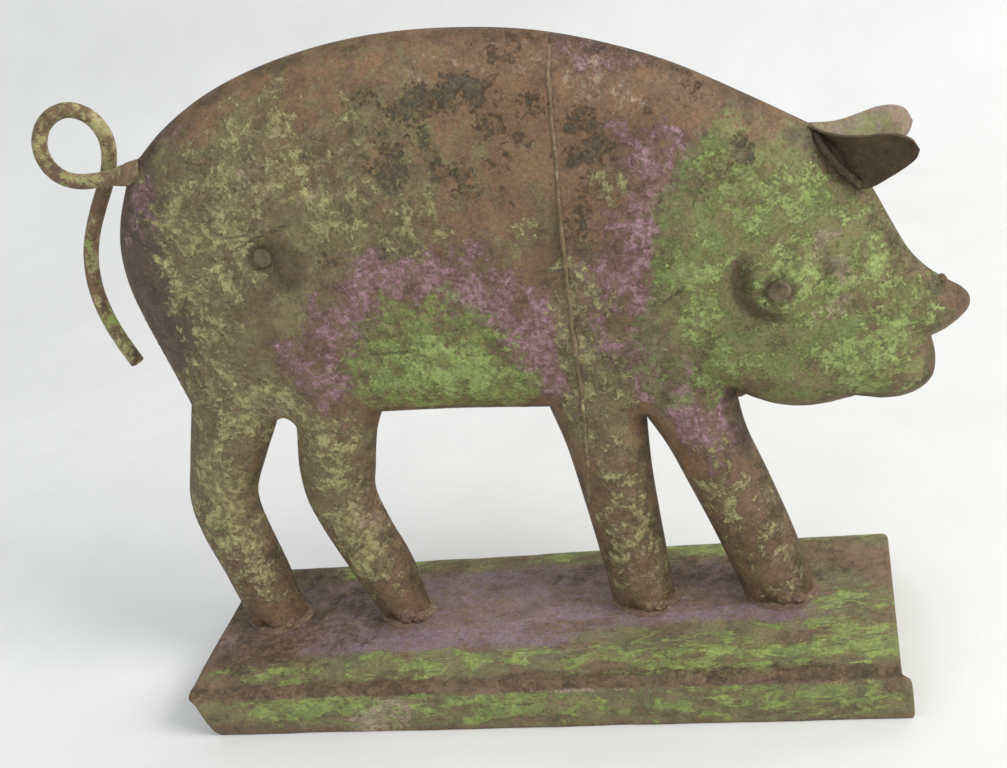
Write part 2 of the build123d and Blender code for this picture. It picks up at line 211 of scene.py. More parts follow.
def inside_outline(x, y):
    """True for the points inside the outline."""
    count = np.zeros(len(x), int)
    for a, b in zip(OUTLINE, FOLLOWING):
        if a[1] == b[1]:
            continue
        crosses = (a[1] > y) != (b[1] > y)
        count += crosses & (x < a[0] + (y - a[1]) / (b[1] - a[1]) * (b[0] - a[0]))
    return count % 2 == 1


def to_segments(starts, ends, x, y):
    """Distance from places to the nearest of some straight segments."""
    best = np.full(np.shape(x), np.inf)
    for a, b in zip(starts, ends):
        run = b - a
        share = np.clip(((x - a[0]) * run[0] + (y - a[1]) * run[1]) / (run @ run), 0, 1)
        best = np.minimum(best, np.hypot(x - a[0] - share * run[0], y - a[1] - share * run[1]))
    return best


def to_line(line, x, y):
    """Distance from places to a chain of points."""
    line = np.array(line, float)
    return to_segments(line[:-1], line[1:], x, y)


def to_rolled_edge(x, y):
    """Distance to the rolled edges, which leaves out the soles."""
    return to_segments(OUTLINE[~ON_SOLE], FOLLOWING[~ON_SOLE], x, y)


# -------- the skin's height
SHEET = 0.8               # thickness of the figure's metal
LIP = 1.4                 # height of the outer face at the very edge
RIM_CONTACT = 1.0         # width of the band along the rim where the two sides touch
LEG_ROLL, BODY_ROLL = 10.5, 17.0     # how far in from the edge the rolled part reaches
LEG_RISE, BODY_RISE = 7.2, 8.0       # how much the roll lifts the face
LEGS_END, BODY_STARTS = 70, 120      # heights between which leg turns into body
BODY_CROWN = 2.5          # further rise in the middle of the body
ROLL_POWER = 2.2
EYE, EYE_RADIUS, EYE_RISE = (91.2, 130.0), 11.5, 4.4
EYE_STEEPER = 1.5         # extra height that makes the eye bulge's flanks steeper
HAUNCH = (-52.6, 156.1)
RIVET_RECESS = 0.9        # how deep the sheet is beaten in round a rivet
RIM_ROUND = 0.45          # how far the outer face falls at the very rim
SKIN_SEED = {NEAR: 3.0, FAR: 17.0}
# Hammered and bent places: along, up, radius, height of the middle.
DENTS = [
    (-70, 178, 20, -0.5), (-30, 150, 24, 0.4), (10, 185, 22, -0.45), (-12, 116, 22, 0.7),
    (60, 118, 16, -0.6), (72, 150, 15, 0.45), (-84, 130, 16, -0.5), (-60, 120, 15, 0.35),
    (104, 104, 12, 0.5), (112, 122, 8, -0.6), (22, 132, 12, -0.5), (52, 176, 15, 0.35), (84, 166, 12, -0.3),
    (-88, 152, 12, 0.4), (-52.6, 156.1, 8, -0.7), (72, 104, 12, -0.5), (-99, 50, 9, 0.4), (-52, 58, 9, 0.5),
    (35, 60, 9, -0.4), (66, 70, 10, 0.5),
]
# Creases pressed or cracked into the sheet: points along the crease, depth, half width.
CREASES = [
    ([(77, 122), (82, 116.5), (91, 113.5), (100, 115), (106, 121)], 0.35, 2.0),
    ([(73, 128), (74, 118), (81, 109), (92, 106)], 0.30, 2.4),
    ([(106, 140), (110, 131), (108, 120)], 0.35, 1.8),
    ([(116, 134), (122, 124), (124, 114)], 0.35, 2.2),
    ([(-97, 166), (-88, 161), (-80, 163)], 0.40, 2.0),
    ([(-99, 143), (-90, 137), (-82, 138)], 0.35, 2.2),
    ([(-100, 128), (-92, 119), (-86, 116)], 0.30, 2.0),
    ([(-62, 159), (-52, 162), (-42, 165)], 0.30, 1.5),
]
SLIT_AT = 0.40            # how far across each foot its sheet is notched
SLIT_TOP, SLIT_DEPTH, SLIT_LEAN = 7.5, 2.6, 0.22     # the notch's height, depth and slant


def from_point(point, x, y):
    """Distance from places to one point of the side view."""
    return np.hypot(x - point[0], y - point[1])


def face_height(distance, x, y):
    """Smooth height of the outer face above the closing plane, and its slope across the edge."""
    body = smooth(LEGS_END, BODY_STARTS, y)
    roll = LEG_ROLL + (BODY_ROLL - LEG_ROLL) * body
    rise = LEG_RISE + (BODY_RISE - LEG_RISE) * body
    t = np.clip(distance / roll, -0.5, 1)
    height = LIP + rise * (1 - (1 - t) ** ROLL_POWER)
    slope = rise * ROLL_POWER / roll * (1 - t) ** (ROLL_POWER - 1)
    height = height + BODY_CROWN * smooth(10, 42, distance)
    height = height + EYE_RISE * np.clip(1 - (from_point(EYE, x, y) / EYE_RADIUS) ** 2, 0, 1) ** 1.5
    return height, slope


def hammered(distance, x, y, seed):
    """Dents, creases and foot notches, which fade out at the closed rim."""
    change = 0.28 * ripple(x, y, 26, seed) + 0.10 * ripple(x, y, 8, seed + 7.3, 2)
    for along, up, radius, rise in DENTS:
        share = np.clip(1 - ((x - along) ** 2 + (y - up) ** 2) / radius**2, 0, 1)
        change = change + rise * share**2
    for line, depth, width in CREASES:
        change = change - depth * np.exp(-((to_line(line, x, y) / width) ** 2))
    eye, haunch = from_point(EYE, x, y), from_point(HAUNCH, x, y)
    change = change - 0.5 * np.exp(-(((eye - EYE_RADIUS - 0.6) / 2.0) ** 2))
    change = change + EYE_STEEPER * np.sqrt(np.clip(1 - (eye / (EYE_RADIUS + 0.8)) ** 2, 0, 1))
    change = change - RIVET_RECESS * (smooth(6.5, 3.0, eye) + smooth(8.0, 3.0, haunch))
    change = change * smooth(0.3, 7, distance)
    above = y - TRAY_TOP
    for (_, left), (_, right) in LEGS.values():
        slit = left + SLIT_AT * (right - left) - SLIT_LEAN * above
        reach = smooth(SLIT_TOP, 1.0, above)
        width = 0.7 + 1.3 * smooth(5, 0, above)
        change = change - SLIT_DEPTH * reach * np.exp(-(((x - slit) / width) ** 2)) * (y < SHIN)
    return change


def skin(x, y, side):
    """Distance to the edge, and the outer and inner height of the sheet, at places in the side view."""
    distance = to_rolled_edge(x, y)
    work = hammered(distance, x, y, SKIN_SEED[side])
    outer = face_height(distance, x, y)[0] + work
    outer = outer - RIM_ROUND * smooth(0.7, 0, distance)
    inner, slope = face_height(distance - RIM_CONTACT, x, y)
    inner = np.maximum(inner + work - SHEET * np.hypot(1, slope), 0.03)
    return distance, outer, np.minimum(inner, outer - 0.3)


# -------- mesh helpers
def in_scene(name, data):
    """A new object of the scene."""
    made = bpy.data.objects.new(name, data)
    bpy.context.scene.collection.objects.link(made)
    return made


def smooth_mesh(name, vertices, faces, material):
    """A new object of the scene with a mesh that is shaded smooth."""
    mesh = bpy.data.meshes.new(name)
    mesh.from_pydata([tuple(v) for v in vertices], [], [tuple(f) for f in faces])
    mesh.validate()
    mesh.polygons.foreach_set("use_smooth", [True] * len(mesh.polygons))
    mesh.materials.append(material)
    return in_scene(name, mesh)


def piece(name, vertices, faces, material, slot_name, node_name):
    """A new piece of the object, which rides on the one body and stands for its CAD node."""
    made = smooth_mesh(name, vertices, faces, material)
    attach(made, "root")
    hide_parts(node_name)
    return made


def solid(*details):
    """A new piece from a closed mesh, with its faces turned outwards."""
    made = piece(*details)
    mesh = bmesh.new()
    mesh.from_mesh(made.data)
    bmesh.ops.recalc_face_normals(mesh, faces=mesh.faces)
    mesh.to_mesh(made.data)
    mesh.free()
    return made


def give_masks(made, name, values):
    """Store four masks for each point of one face of a sheet, and the same for the other face."""
    attribute = made.data.attributes.new(name, "FLOAT_COLOR", "POINT")
    attribute.data.foreach_set("color", np.vstack([values, values]).astype(np.float32).ravel())


def boundary_edges(triangles):
    """Edges used by one triangle only, in that triangle's direction."""
    seen = dict.fromkeys(edge for a, b, c in triangles for edge in ((a, b), (b, c), (c, a)))
    return [edge for edge in seen if (edge[1], edge[0]) not in seen]


def grid_sheet(outer, inner):
    """Closed mesh of a sheet from two equal grids of points, one each side."""
    rows, columns = outer.shape[:2]
    count = rows * columns
    vertices = np.vstack([outer.reshape(-1, 3), inner.reshape(-1, 3)])
    faces = []
    for r in range(rows - 1):
        for c in range(columns - 1):
            i = r * columns + c
            quad = (i, i + 1, i + columns + 1, i + columns)
            faces.append(quad)
            faces.append(tuple(k + count for k in reversed(quad)))
    ring = list(range(columns))
    ring += [r * columns + columns - 1 for r in range(1, rows)]
    ring += [(rows - 1) * columns + c for c in range(columns - 2, -1, -1)]
    ring += [r * columns for r in range(rows - 2, 0, -1)]
    for a, b in zip(ring, ring[1:] + ring[:1]):
        faces.append((b, a, a + count, b + count))
    return vertices, faces


def tube(rings):
    """Closed mesh from rings of points, each an equal loop."""
    sides = rings.shape[1]
    faces = []
    for r in range(len(rings) - 1):
        for s in range(sides):
            a, b = r * sides + s, r * sides + (s + 1) % sides
            faces.append((a, b, b + sides, a + sides))
    faces.append(tuple(reversed(range(sides))))
    faces.append(tuple((len(rings) - 1) * sides + s for s in range(sides)))
    return rings.reshape(-1, 3), faces


# -------- materials
def linear(*channels):
    """A colour given as three display values from 0 to 255, all of them above 10."""
    return tuple(((c / 255 + 0.055) / 1.055) ** 2.4 for c in channels)


def tones(*values):
    """Colours from display values, three numbers each."""
    return [linear(*values[k:k + 3]) for k in range(0, len(values), 3)]


class Graph:
    """Short calls for building a material's nodes, with the colour and the height map laid so far."""

    def __init__(self, name):
        self.material = bpy.data.materials.new(name)
        self.material.use_nodes = True
        self.tree = self.material.node_tree
        self.tree.nodes.clear()
        self.where = self.node("TexCoord", {}).outputs["Object"]
        self.colour = self.height = self.fine = self.wear = None

    def node(self, kind, inputs, **settings):
        """A node with its settings, and its inputs linked to sockets or set to numbers and colours."""
        made = self.tree.nodes.new("ShaderNode" + kind)
        for key, value in settings.items():
            setattr(made, key, value)
        for key, value in inputs.items():
            target = made.inputs[key]
            if isinstance(value, bpy.types.NodeSocket):
                self.tree.links.new(value, target)
            elif target.type == "RGBA":
                target.default_value = (*value, 1.0)
            else:
                target.default_value = value
        return made

    def math(self, operation, a, b):
        return self.node("Math", {0: a, 1: b}, operation=operation).outputs[0]

    def add(self, a, b):
        return self.math("ADD", a, b)

    def less(self, a, b):
        return self.math("SUBTRACT", a, b)

    def times(self, a, b):
        return self.math("MULTIPLY", a, b)

    def noise(self, size, seed=0.0, detail=4.0, rough=0.6, warp=0.0, stretch=(1, 1, 1)):
        """Noise from 0 to 1 with features of a size in millimetres, at a place moved by a seed."""
        moved = (seed * 0.37, seed * 0.61, seed * 0.23)
        spot = self.node("Mapping", {"Vector": self.where, "Location": moved, "Scale": stretch}).outputs[0]
        return self.node("TexNoise", {
            "Vector": spot, "Scale": 1 / (size * MM), "Detail": detail, "Roughness": rough, "Distortion": warp,
        }).outputs["Fac"]

    def swing(self, *details):
        """Noise from -0.5 to 0.5."""
        return self.less(self.noise(*details), 0.5)

    def step(self, value, low, high, to_low=0.0, to_high=1.0):
        """A smooth step of value between low and high."""
        inputs = {"Value": value, "From Min": low, "From Max": high, "To Min": to_low, "To Max": to_high}
        return self.node("MapRange", inputs, interpolation_type="SMOOTHSTEP").outputs["Result"]

    def spread(self, value, low=0.0, high=1.0):
        """Noise stretched to run from low to high."""
        return self.step(value, 0.3, 0.7, low, high)

    def mix(self, share, a, b, blend="MIX"):
        inputs = {"Factor": share, "A": a, "B": b}
        return self.node("Mix", inputs, data_type="RGBA", blend_type=blend).outputs["Result"]

    def lay(self, share, amount, tone):
        """Lay a tone over the colour so far."""
        self.colour = self.mix(self.times(share, amount), self.colour, tone)

    def relief(self, operation, share, amount):
        """Add to the height map so far, or take from it."""
        self.height = self.math(operation, self.height, self.times(share, amount))

    def masks(self, name):
        """The four channels of a colour attribute."""
        made = self.node("Attribute", {}, attribute_name=name)
        split = self.node("SeparateColor", {"Color": made.outputs["Color"]})
        return (*split.outputs, made.outputs["Alpha"])

    def ground(self, browns, seed):
        """Rusted brown ground under the paint, with pits."""
        broad = self.step(self.noise(13, seed, 6, 0.62, 0.6), 0.36, 0.64)
        mottle = self.step(self.noise(4.2, seed + 2, 7, 0.68, 0.5), 0.42, 0.68)
        self.colour = self.mix(broad, browns[0], browns[1])
        self.lay(mottle, 0.7, browns[2])
        grain, lumps = self.noise(0.9, seed + 4, 4, 0.7), self.noise(3.2, seed + 6, 4, 0.6)
        self.height = self.add(self.times(grain, 0.35), self.times(lumps, 0.9))

    def coat(self, mask, pair, seed, size, amount, soft, worn, thick=0.0):
        """One coat of old paint in two tones. It lies where its mask is above zero, with an edge torn by
        noise at three sizes and worn thin in places. A coat with a thickness also raises the height."""
        if self.fine is None:
            self.fine = self.times(self.swing(2.0, 3.1, 7.0, 0.78, 0.3), 3.2)
            self.wear = self.noise(2.2, 8.7, 6.0, 0.72, 0.4)
        cloud = self.swing(size * 2.6, seed + 1.7, 3.0, 0.55, 0.5)
        tear = self.swing(size, seed, 8.0, 0.7, 0.45)
        torn = self.add(self.add(self.times(cloud, 2.0 * amount), self.times(tear, 2.4 * amount)), self.fine)
        cover = self.step(self.add(mask, torn), -soft, soft)
        share = self.times(cover, self.step(self.wear, 0.44, 0.62, 1.0, 1.0 - worn))
        tone = self.mix(self.step(tear, -0.13, 0.13), *pair)
        if thick:
            self.relief("ADD", share, thick)
        self.colour = self.mix(share, self.colour, tone)
        return share

    def grime(self, seed):
        """Uneven dirt over everything: a fine light and dark grain."""
        grain = self.spread(self.noise(0.8, seed, 4, 0.75), 0.72, 1.18)
        value = self.times(grain, self.spread(self.noise(9, seed + 2, 4, 0.6), 0.92, 1.06))
        tint = self.node("CombineColor", {0: value, 1: value, 2: value}).outputs[0]
        self.colour = self.mix(1.0, self.colour, tint, "MULTIPLY")

    def finish(self, roughness, depth):
        """Join up the colour, the roughness and a bump of the height map, its depth in millimetres."""
        bump = self.node("Bump", {"Strength": 1.0, "Distance": depth * MM, "Height": self.height})
        shader = self.node("BsdfPrincipled", {
            "Base Color": self.colour, "Roughness": roughness, "Normal": bump.outputs["Normal"],
            "Specular IOR Level": 0.22,
        })
        self.node("OutputMaterial", {"Surface": shader.outputs["BSDF"]})
        return self.material


RUST = linear(126, 100, 76)
ORANGE = linear(136, 104, 77)
BROWN = linear(117, 93, 72)
MID_BROWN = linear(129, 105, 82)
DARK_BROWN = linear(78, 66, 52)
BROWNS = (BROWN, MID_BROWN, DARK_BROWN)
MAROON = linear(92, 77, 66)
PLUM = linear(78, 68, 60)
OLIVE = linear(134, 126, 88)
MOSS = linear(114, 102, 74)
DULL_GREEN = linear(106, 110, 76)
OCHRE = linear(172, 164, 116)
CREAM = linear(172, 160, 128)
PINK_GREY = linear(160, 136, 120)
LIME = linear(148, 164, 92)
PALE_LIME = linear(154, 168, 104)
GREEN = linear(122, 136, 82)
LILAC = linear(168, 132, 141)
DUSKY = linear(136, 106, 98)
CHARCOAL = linear(80, 75, 63)
SLATE = linear(98, 90, 76)


def sides_material():
    """Layered paint of the two sides, with painted shade laid in as dark brown: masks say where each colour
    lies.
    """
    g = Graph("painted_sides")
    lime, lilac, rust, plum_and_shade = g.masks("paint_a")
    green, ochre, cream, dark = g.masks("paint_b")
    rim, shade_and_stain, scratch, olive = g.masks("wear")
    g.ground(BROWNS, 1.0)
    bright = g.less(g.math("MAXIMUM", lime, g.add(green, 0.12)), 0.5)
    # Mask, two tones, seed, size of the torn edge, amount of tearing, softness, wear, thickness.
    for coat in (
        (g.add(olive, 0.2), (MOSS, OLIVE), 11, 6.0, 1.0, 0.25, 0.5),
        (g.less(rust, 0.1), (RUST, ORANGE), 21, 8.0, 1.1, 0.25, 0.5),
        # The dark plum coat is partly painted shade on the rump's left edge.
        (plum_and_shade, (PLUM, MAROON), 31, 12.0, 0.6, 0.5, 0.3),
        (g.add(lilac, 0.10), (DUSKY, LILAC), 41, 6.0, 1.2, 0.3, 0.85, 0.7),
        (green, (GREEN, LIME), 51, 6.0, 0.9, 0.3, 0.75),
        (lime, (OLIVE, GREEN), 61, 9.0, 0.8, 0.3, 0.4),
        (bright, (LIME, PALE_LIME), 65, 5.0, 1.0, 0.16, 0.6, 0.6),
        (g.less(ochre, 0.20), (OLIVE, OCHRE), 71, 6.0, 1.3, 0.12, 0.9, 0.6),
        (g.less(cream, 0.32), (CREAM, PINK_GREY), 81, 3.0, 0.9, 0.3, 0.7),
    ):
        g.coat(*coat)
    chips = g.coat(g.less(dark, 0.36), (CHARCOAL, SLATE), 91, 5.5, 1.1, 0.2, 0.6)
    g.relief("SUBTRACT", chips, 0.9)
    # Painted shade round the eye, the rivets, the hollows and the ear's root, with stains and worn places,
    # laid in dark brown.
    shade_and_wear = g.add(shade_and_stain, g.times(g.less(g.wear, 0.5), 0.9))
    g.lay(g.step(shade_and_wear, 0.2, 1.0), 0.75, DARK_BROWN)
    ragged = g.times(g.swing(5, 101, 5, 0.6), 2.0)
    edge_tone = g.mix(g.step(g.noise(9, 103), 0.4, 0.6), DARK_BROWN, BROWN)
    g.lay(g.step(g.add(rim, ragged), 0.45, 1.05), 0.75, edge_tone)
    line = g.step(scratch, 0.6, 0.9)
    g.lay(line, 0.6, CHARCOAL)
    g.relief("SUBTRACT", line, 1.2)
    blots = g.step(g.noise(7.0, 115, 9, 0.72, 0.25), 0.515, 0.575)
    g.lay(blots, 0.5, g.mix(g.step(g.wear, 0.35, 0.65), MAROON, BROWN))
    g.lay(g.step(g.noise(1.0, 111, 3, 0.7), 0.66, 0.76), 0.35, CREAM)
    g.lay(g.step(g.noise(1.3, 121, 4, 0.75, 0.5), 0.64, 0.74), 0.55, DARK_BROWN)
    g.grime(131)
    return g.finish(g.spread(g.noise(5, 141, 4), 0.5, 0.76), 0.32)


def base_material():
    """Paint of the tray: purple middle, lime bands along the edges, rust brown between them."""
    g = Graph("painted_base")
    lime, purple, dark, bare = g.masks("paint_a")
    streaked = (0.42, 1, 1)
    g.ground(tones(118, 99, 79, 130, 108, 86, 92, 77, 62), 5)
    g.coat(purple, tones(143, 124, 137, 128, 107, 115), 12, 7, 0.7, 0.6, 0.55)
    g.coat(g.add(lime, 0.25), (DULL_GREEN, OLIVE), 16, 8, 0.9, 0.4, 0.5)
    tear = g.times(g.swing(4.6, 22, 7, 0.68, 1.0, streaked), 4.6)
    broad = g.times(g.swing(17, 24, 4, 0.6, 0.5, streaked), 3.2)
    cover = g.step(g.add(lime, g.add(tear, broad)), 0.14, 0.34)
    cover = g.times(cover, g.step(g.noise(2.0, 28, 6, 0.72, 0.4), 0.40, 0.66, 1.0, 0.45))
    g.colour = g.mix(cover, g.colour, g.mix(g.step(g.noise(4, 26, 5), 0.36, 0.64), GREEN, LIME))
    blots = g.step(g.noise(7, 29, 9, 0.74, 0.2, streaked), 0.52, 0.57)
    g.lay(blots, 0.7, g.mix(g.step(g.wear, 0.4, 0.6), MAROON, RUST))
    g.relief("ADD", cover, 0.6)
    # Dark brown, which also darkens the valley behind the near fold.
    g.coat(dark, (linear(98, 76, 58), DARK_BROWN), 32, 6, 1.0, 0.4, 0.4)
    g.coat(bare, (CREAM, PINK_GREY), 42, 4, 0.9, 0.25, 0.4)
    g.lay(g.step(g.noise(1.4, 52, 4, 0.75, 0.5), 0.63, 0.74), 0.5, DARK_BROWN)
    g.grime(62)
    return g.finish(g.spread(g.noise(5, 72, 4), 0.48, 0.74), 0.2)


def rod_material():
    """Tail rod: olive and green paint worn to brown, with a light gloss."""
    g = Graph("painted_tail")
    g.ground(BROWNS, 7)
    g.coat(-0.05, (OLIVE, OCHRE), 14, 6, 1.0, 0.14, 0.5)
    g.coat(-0.28, (GREEN, LIME), 24, 7, 1.1, 0.12, 0.5)
    g.grime(34)
    return g.finish(g.spread(g.noise(4, 44), 0.42, 0.68), 0.14)


def plain_metal(name, seed, bump, browns, *paints):
    """Filler metal, rivets or ears: a brown ground with a little paint, as mask and two tones."""
    g = Graph(name)
    g.ground(browns, seed)
    for number, (mask, pair) in enumerate(paints, 1):
        g.coat(mask, pair, seed + 10 * number, 5, 1.0, 0.15, 0.5)
    g.grime(seed + 3)
    return g.finish(g.spread(g.noise(3, seed + 5), 0.48, 0.74), bump)


SIDES = sides_material()
BASE = base_material()
ROD = rod_material()
FILLER = plain_metal("filler_metal", 41, 0.25, tones(124, 104, 84, 138, 114, 90, 98, 80, 64),
                     (-0.25, (OCHRE, OLIVE)))
FOOT_FILLER = plain_metal("foot_filler", 46, 0.25, tones(112, 90, 76, 122, 98, 84, 88, 70, 58),
                          (-0.25, (linear(140, 124, 92), OLIVE)))
SEAM_FILLER = plain_metal("seam_filler", 42, 0.25, tones(118, 101, 78, 130, 112, 86, 98, 83, 65),
                          (-0.35, (OLIVE, OCHRE)))
# The ear's root beads are darkened as painted shade in the gap under the ear.
SHADED_EAR_FILLER = plain_metal("ear_filler", 50, 0.2, tones(72, 62, 47, 82, 72, 54, 58, 50, 40),
                         (-0.3, (DULL_GREEN, OLIVE)))
RIM_FILLER = plain_metal("rim_filler", 45, 0.25, BROWNS, (-0.3, (OLIVE, GREEN)))
RIVETS = plain_metal("painted_rivets", 43, 0.2, tones(104, 92, 72, 118, 104, 80, 74, 64, 52),
                     (-0.35, (OLIVE, GREEN)))
# The near ear's dark browns are painted shade: its face is turned from the light.
SHADED_NEAR_EAR = plain_metal("painted_ears", 47, 0.2, tones(82, 66, 49, 94, 78, 58, 64, 52, 40),
                       (-0.30, tones(88, 84, 58, 76, 70, 48)))
# The far ear's lighter browns are painted light on its face turned to the light, over its pink-grey and green
# paint.
LIT_FAR_EAR = plain_metal("far_ear_painted_light", 49, 0.2, tones(128, 112, 96, 148, 130, 116, 108, 92, 78),
                      (-0.1, (GREEN, OLIVE)), (-0.35, (PINK_GREY, DUSKY)))

# Line of an ear's root on the head: along, up, and how far out from the closing plane.
EAR_ROOT = [
    (103.8, 166.0, 3.4), (105.2, 163.0, 5.4), (107.6, 159.6, 7.0), (110.6, 155.6, 7.2), (113.2, 151.8, 5.4),
]

# -------- where each colour lies on the sides
# Patches: along, up, half width, half height, turn in degrees, strength.
LIME_PATCHES = [
    (70, 126, 12, 24, 10, 0.75), (80, 160, 12, 14, 0, 0.75), (100, 124, 40, 44, 0, 0.62),
    (92, 152, 20, 18, -30, 0.62), (78, 112, 16, 22, 0, 0.6), (106, 98, 24, 14, 0, 0.55),
    (72, 150, 10, 12, 0, 0.3), (62, 128, 8, 8, 0, 0.25), (56, 104, 9, 8, 0, 0.25),
]
LILAC_PATCHES = [
    (57, 144, 12, 22, -20, 0.45), (64, 162, 10, 8, 0, 0.3), (46, 124, 9, 20, 10, 0.3),
    (60, 100, 11, 14, 25, 0.5), (66, 86, 9, 10, 30, 0.45), (-48, 116, 12, 12, 35, 0.40),
    (-33, 133, 14, 10, 30, 0.45), (-14, 146, 22, 8, 10, 0.2), (8, 138, 16, 11, -40, 0.3),
    (21, 118, 9, 17, 20, 0.55), (26, 104, 6, 10, 0, 0.4), (-80, 192, 12, 5, 30, 0.0),
    (-90, 176, 9, 14, -20, 0.0), (70, 170, 14, 5, -25, 0.05), (54, 198, 14, 4, -20, 0.05),
    (30, 122, 6, 14, 0, 0.2),
]
RUST_PATCHES = [
    (48, 188, 46, 20, -14, 0.45), (76, 172, 22, 14, -25, 0.5), (16, 176, 34, 22, 0, 0.12),
    (-14, 188, 30, 18, 0, -0.15), (48, 160, 16, 14, 0, 0.2), (-36, 196, 30, 12, 8, -0.2),
    (-28, 102, 30, 6, 0, 0.3), (30, 132, 10, 16, 0, 0.2), (112, 152, 6, 16, 30, 0.1),
    (122, 124, 5, 4, 0, 0.3), (54, 66, 10, 30, 10, 0.0), (22, 60, 6, 34, 0, 0.2),
]
# Dark plum coat along the rump's left edge: partly its dark paint, partly painted shade on the edge turned
# from the light.
PLUM_AND_RUMP_SHADE_PATCHES = [
    (-99, 148, 17, 46, 0, 1.3), (-92, 180, 16, 16, 0, 0.9), (-94, 122, 8, 20, 20, 0.3),
    (-60, 150, 9, 9, 0, 0.1),
]
GREEN_PATCHES = [
    (-10, 117, 24, 18, 0, 0.60), (-22, 108, 16, 10, 0, 0.35), (4, 106, 14, 10, 0, 0.35),
]
OCHRE_PATCHES = [
    (-68, 168, 22, 24, 0, 0.4), (-78, 138, 9, 24, 0, 0.4), (-66, 106, 15, 10, 0, 1.4),
    (-36, 188, 30, 14, 0, 0.3), (-68, 104, 20, 9, 0, 0.95), (-14, 166, 26, 14, 0, 0.1),
    (34, 120, 6, 30, 0, 0.25), (-92, 72, 9, 34, 5, 0.9), (-52, 66, 9, 38, 0, 0.9), (-82, 40, 7, 16, 30, 0.5),
    (-38, 38, 8, 14, 30, 0.4), (88, 34, 8, 16, 30, 0.7), (40, 60, 8, 30, 0, 0.35),
    (72, 60, 10, 26, 20, 0.35), (44, 34, 8, 12, 0, 0.5), (-63, 96, 20, 10, 0, 0.7),
    (-80, 100, 14, 8, 0, 0.4), (-97, 74, 8, 20, 0, 0.45), (-52, 74, 9, 18, 0, 0.45),
    (-90, 44, 8, 14, 25, 0.3), (-44, 44, 9, 14, 30, 0.3), (36, 70, 6, 16, 0, 0.15), (36, 138, 7, 12, 0, 0.3),
    (-86, 188, 8, 8, 0, 0.0), (-78, 150, 10, 22, 0, 0.25), (-90, 112, 10, 8, 0, 0.2),
    (25, 151, 6, 7, 0, 0.35), (39, 147, 8, 5, 0, 0.3), (49.5, 163, 5, 6, 0, 0.25),
    (-72, 102, 18, 9, 0, 0.55), (-54, 88, 12, 14, 0, 0.3), (34, 92, 10, 12, 0, 0.15),
    (-98, 60, 12, 24, 0, 0.2), (-53, 62, 12, 24, 0, 0.35), (-40, 170, 16, 10, 20, -0.05),
    (34, 50, 12, 28, 0, 0.05), (78, 44, 13, 26, 20, 0.05), (44, 118, 7, 14, 0, 0.1),
]
CREAM_PATCHES = [
    (105, 139, 3.5, 8, 20, 0.5), (109, 131, 3.0, 7, 0, 0.55), (104, 119, 8, 3, 30, 0.55),
    (55, 189, 12, 6, -20, 0.15), (-45, 64, 6, 10, 0, 0.15), (38, 32, 6, 10, 0, 0.05),
    (84, 34, 6, 12, 25, 0.1), (-92, 50, 5, 12, 0, 0.05), (20, 200, 20, 5, 0, -0.05),
    (-34, 182, 18, 10, 0, -0.15), (-66, 104, 8, 5, 0, 0.1), (12, 200, 10, 4, 0, 0.0),
]
DARK_PATCHES = [
    (-8, 178, 9, 7, 30, 0.3), (20, 196, 10, 5, -15, 0.35), (27, 178, 10, 7, 20, 0.15),
    (35, 189, 5, 4, 0, 0.3), (44, 174, 10, 4, 0, 0.3), (42, 152, 5, 7, 0, 0.3), (45, 180, 6, 5, 0, 0.2),
    (-9, 188, 5, 5, 0, 0.25), (1.5, 192, 5, 5, 0, 0.3), (86, 168, 4, 5, 0, 0.6), (-16, 170, 7, 6, 40, 0.3),
    (-62, 182, 8, 4, 0, -0.1), (10, 166, 7, 5, 0, 0.2), (-24, 158, 14, 8, 0, -0.3),
    (34, 184, 34, 18, 0, -0.3), (0, 182, 26, 16, 0, -0.3),
]
OLIVE_PATCHES = [
    (-60, 168, 44, 32, 10, 0.5), (-30, 194, 50, 18, 0, 0.35), (-80, 130, 26, 26, 0, 0.35),
    (-50, 150, 26, 18, 0, 0.3), (0, 172, 34, 24, 0, 0.15), (-94, 84, 14, 24, 0, 0.0),
    (-55, 84, 16, 20, 0, 0.1), (40, 100, 14, 22, 0, 0.1), (100, 150, 24, 20, 0, 0.2),
    (-72, 112, 24, 14, 0, 0.4),
]
SCRATCHES = [
    [(-29, 121.5), (-20, 121), (-12, 122)], [(-19, 120), (-14.5, 117), (-16, 114.5)],
    [(-62, 159), (-52, 162.5), (-42, 165)], [(-66, 166), (-60, 163.5), (-55, 164)], [(-95, 168), (-88, 163)],
    [(100, 128), (106, 131)], [(101, 124), (107, 124)], [(-90, 140), (-84, 142), (-80, 147)],
    [(60, 128), (66, 132)],
]
# Darkening painted round the rivets and in hollows, mostly painted shade with some grime: along, up, how much
# narrower it is upwards, where it begins, where it is full, strength.
SHADE_AND_GRIME_SPOTS = [
    (*EYE, 1, 6.4, 3.8, 0.8), (EYE[0] + 5, EYE[1] + 7.5, 1, 5.5, 2, 0.7),
    (EYE[0] - 3, EYE[1] - 18, 1.4, 6, 2, 0.55),
    (*HAUNCH, 1, 6.5, 3.6, 0.95), (HAUNCH[0] + 6, HAUNCH[1] - 3, 0.8, 11, 4, 0.85),
    (121.5, 122.5, 1, 7, 2, 0.6), (116, 113, 1.4, 5, 1, 0.4),
]
FAR_WARP = 9.0            # how far the far side's paint is moved about, so that it is no mirror of the near


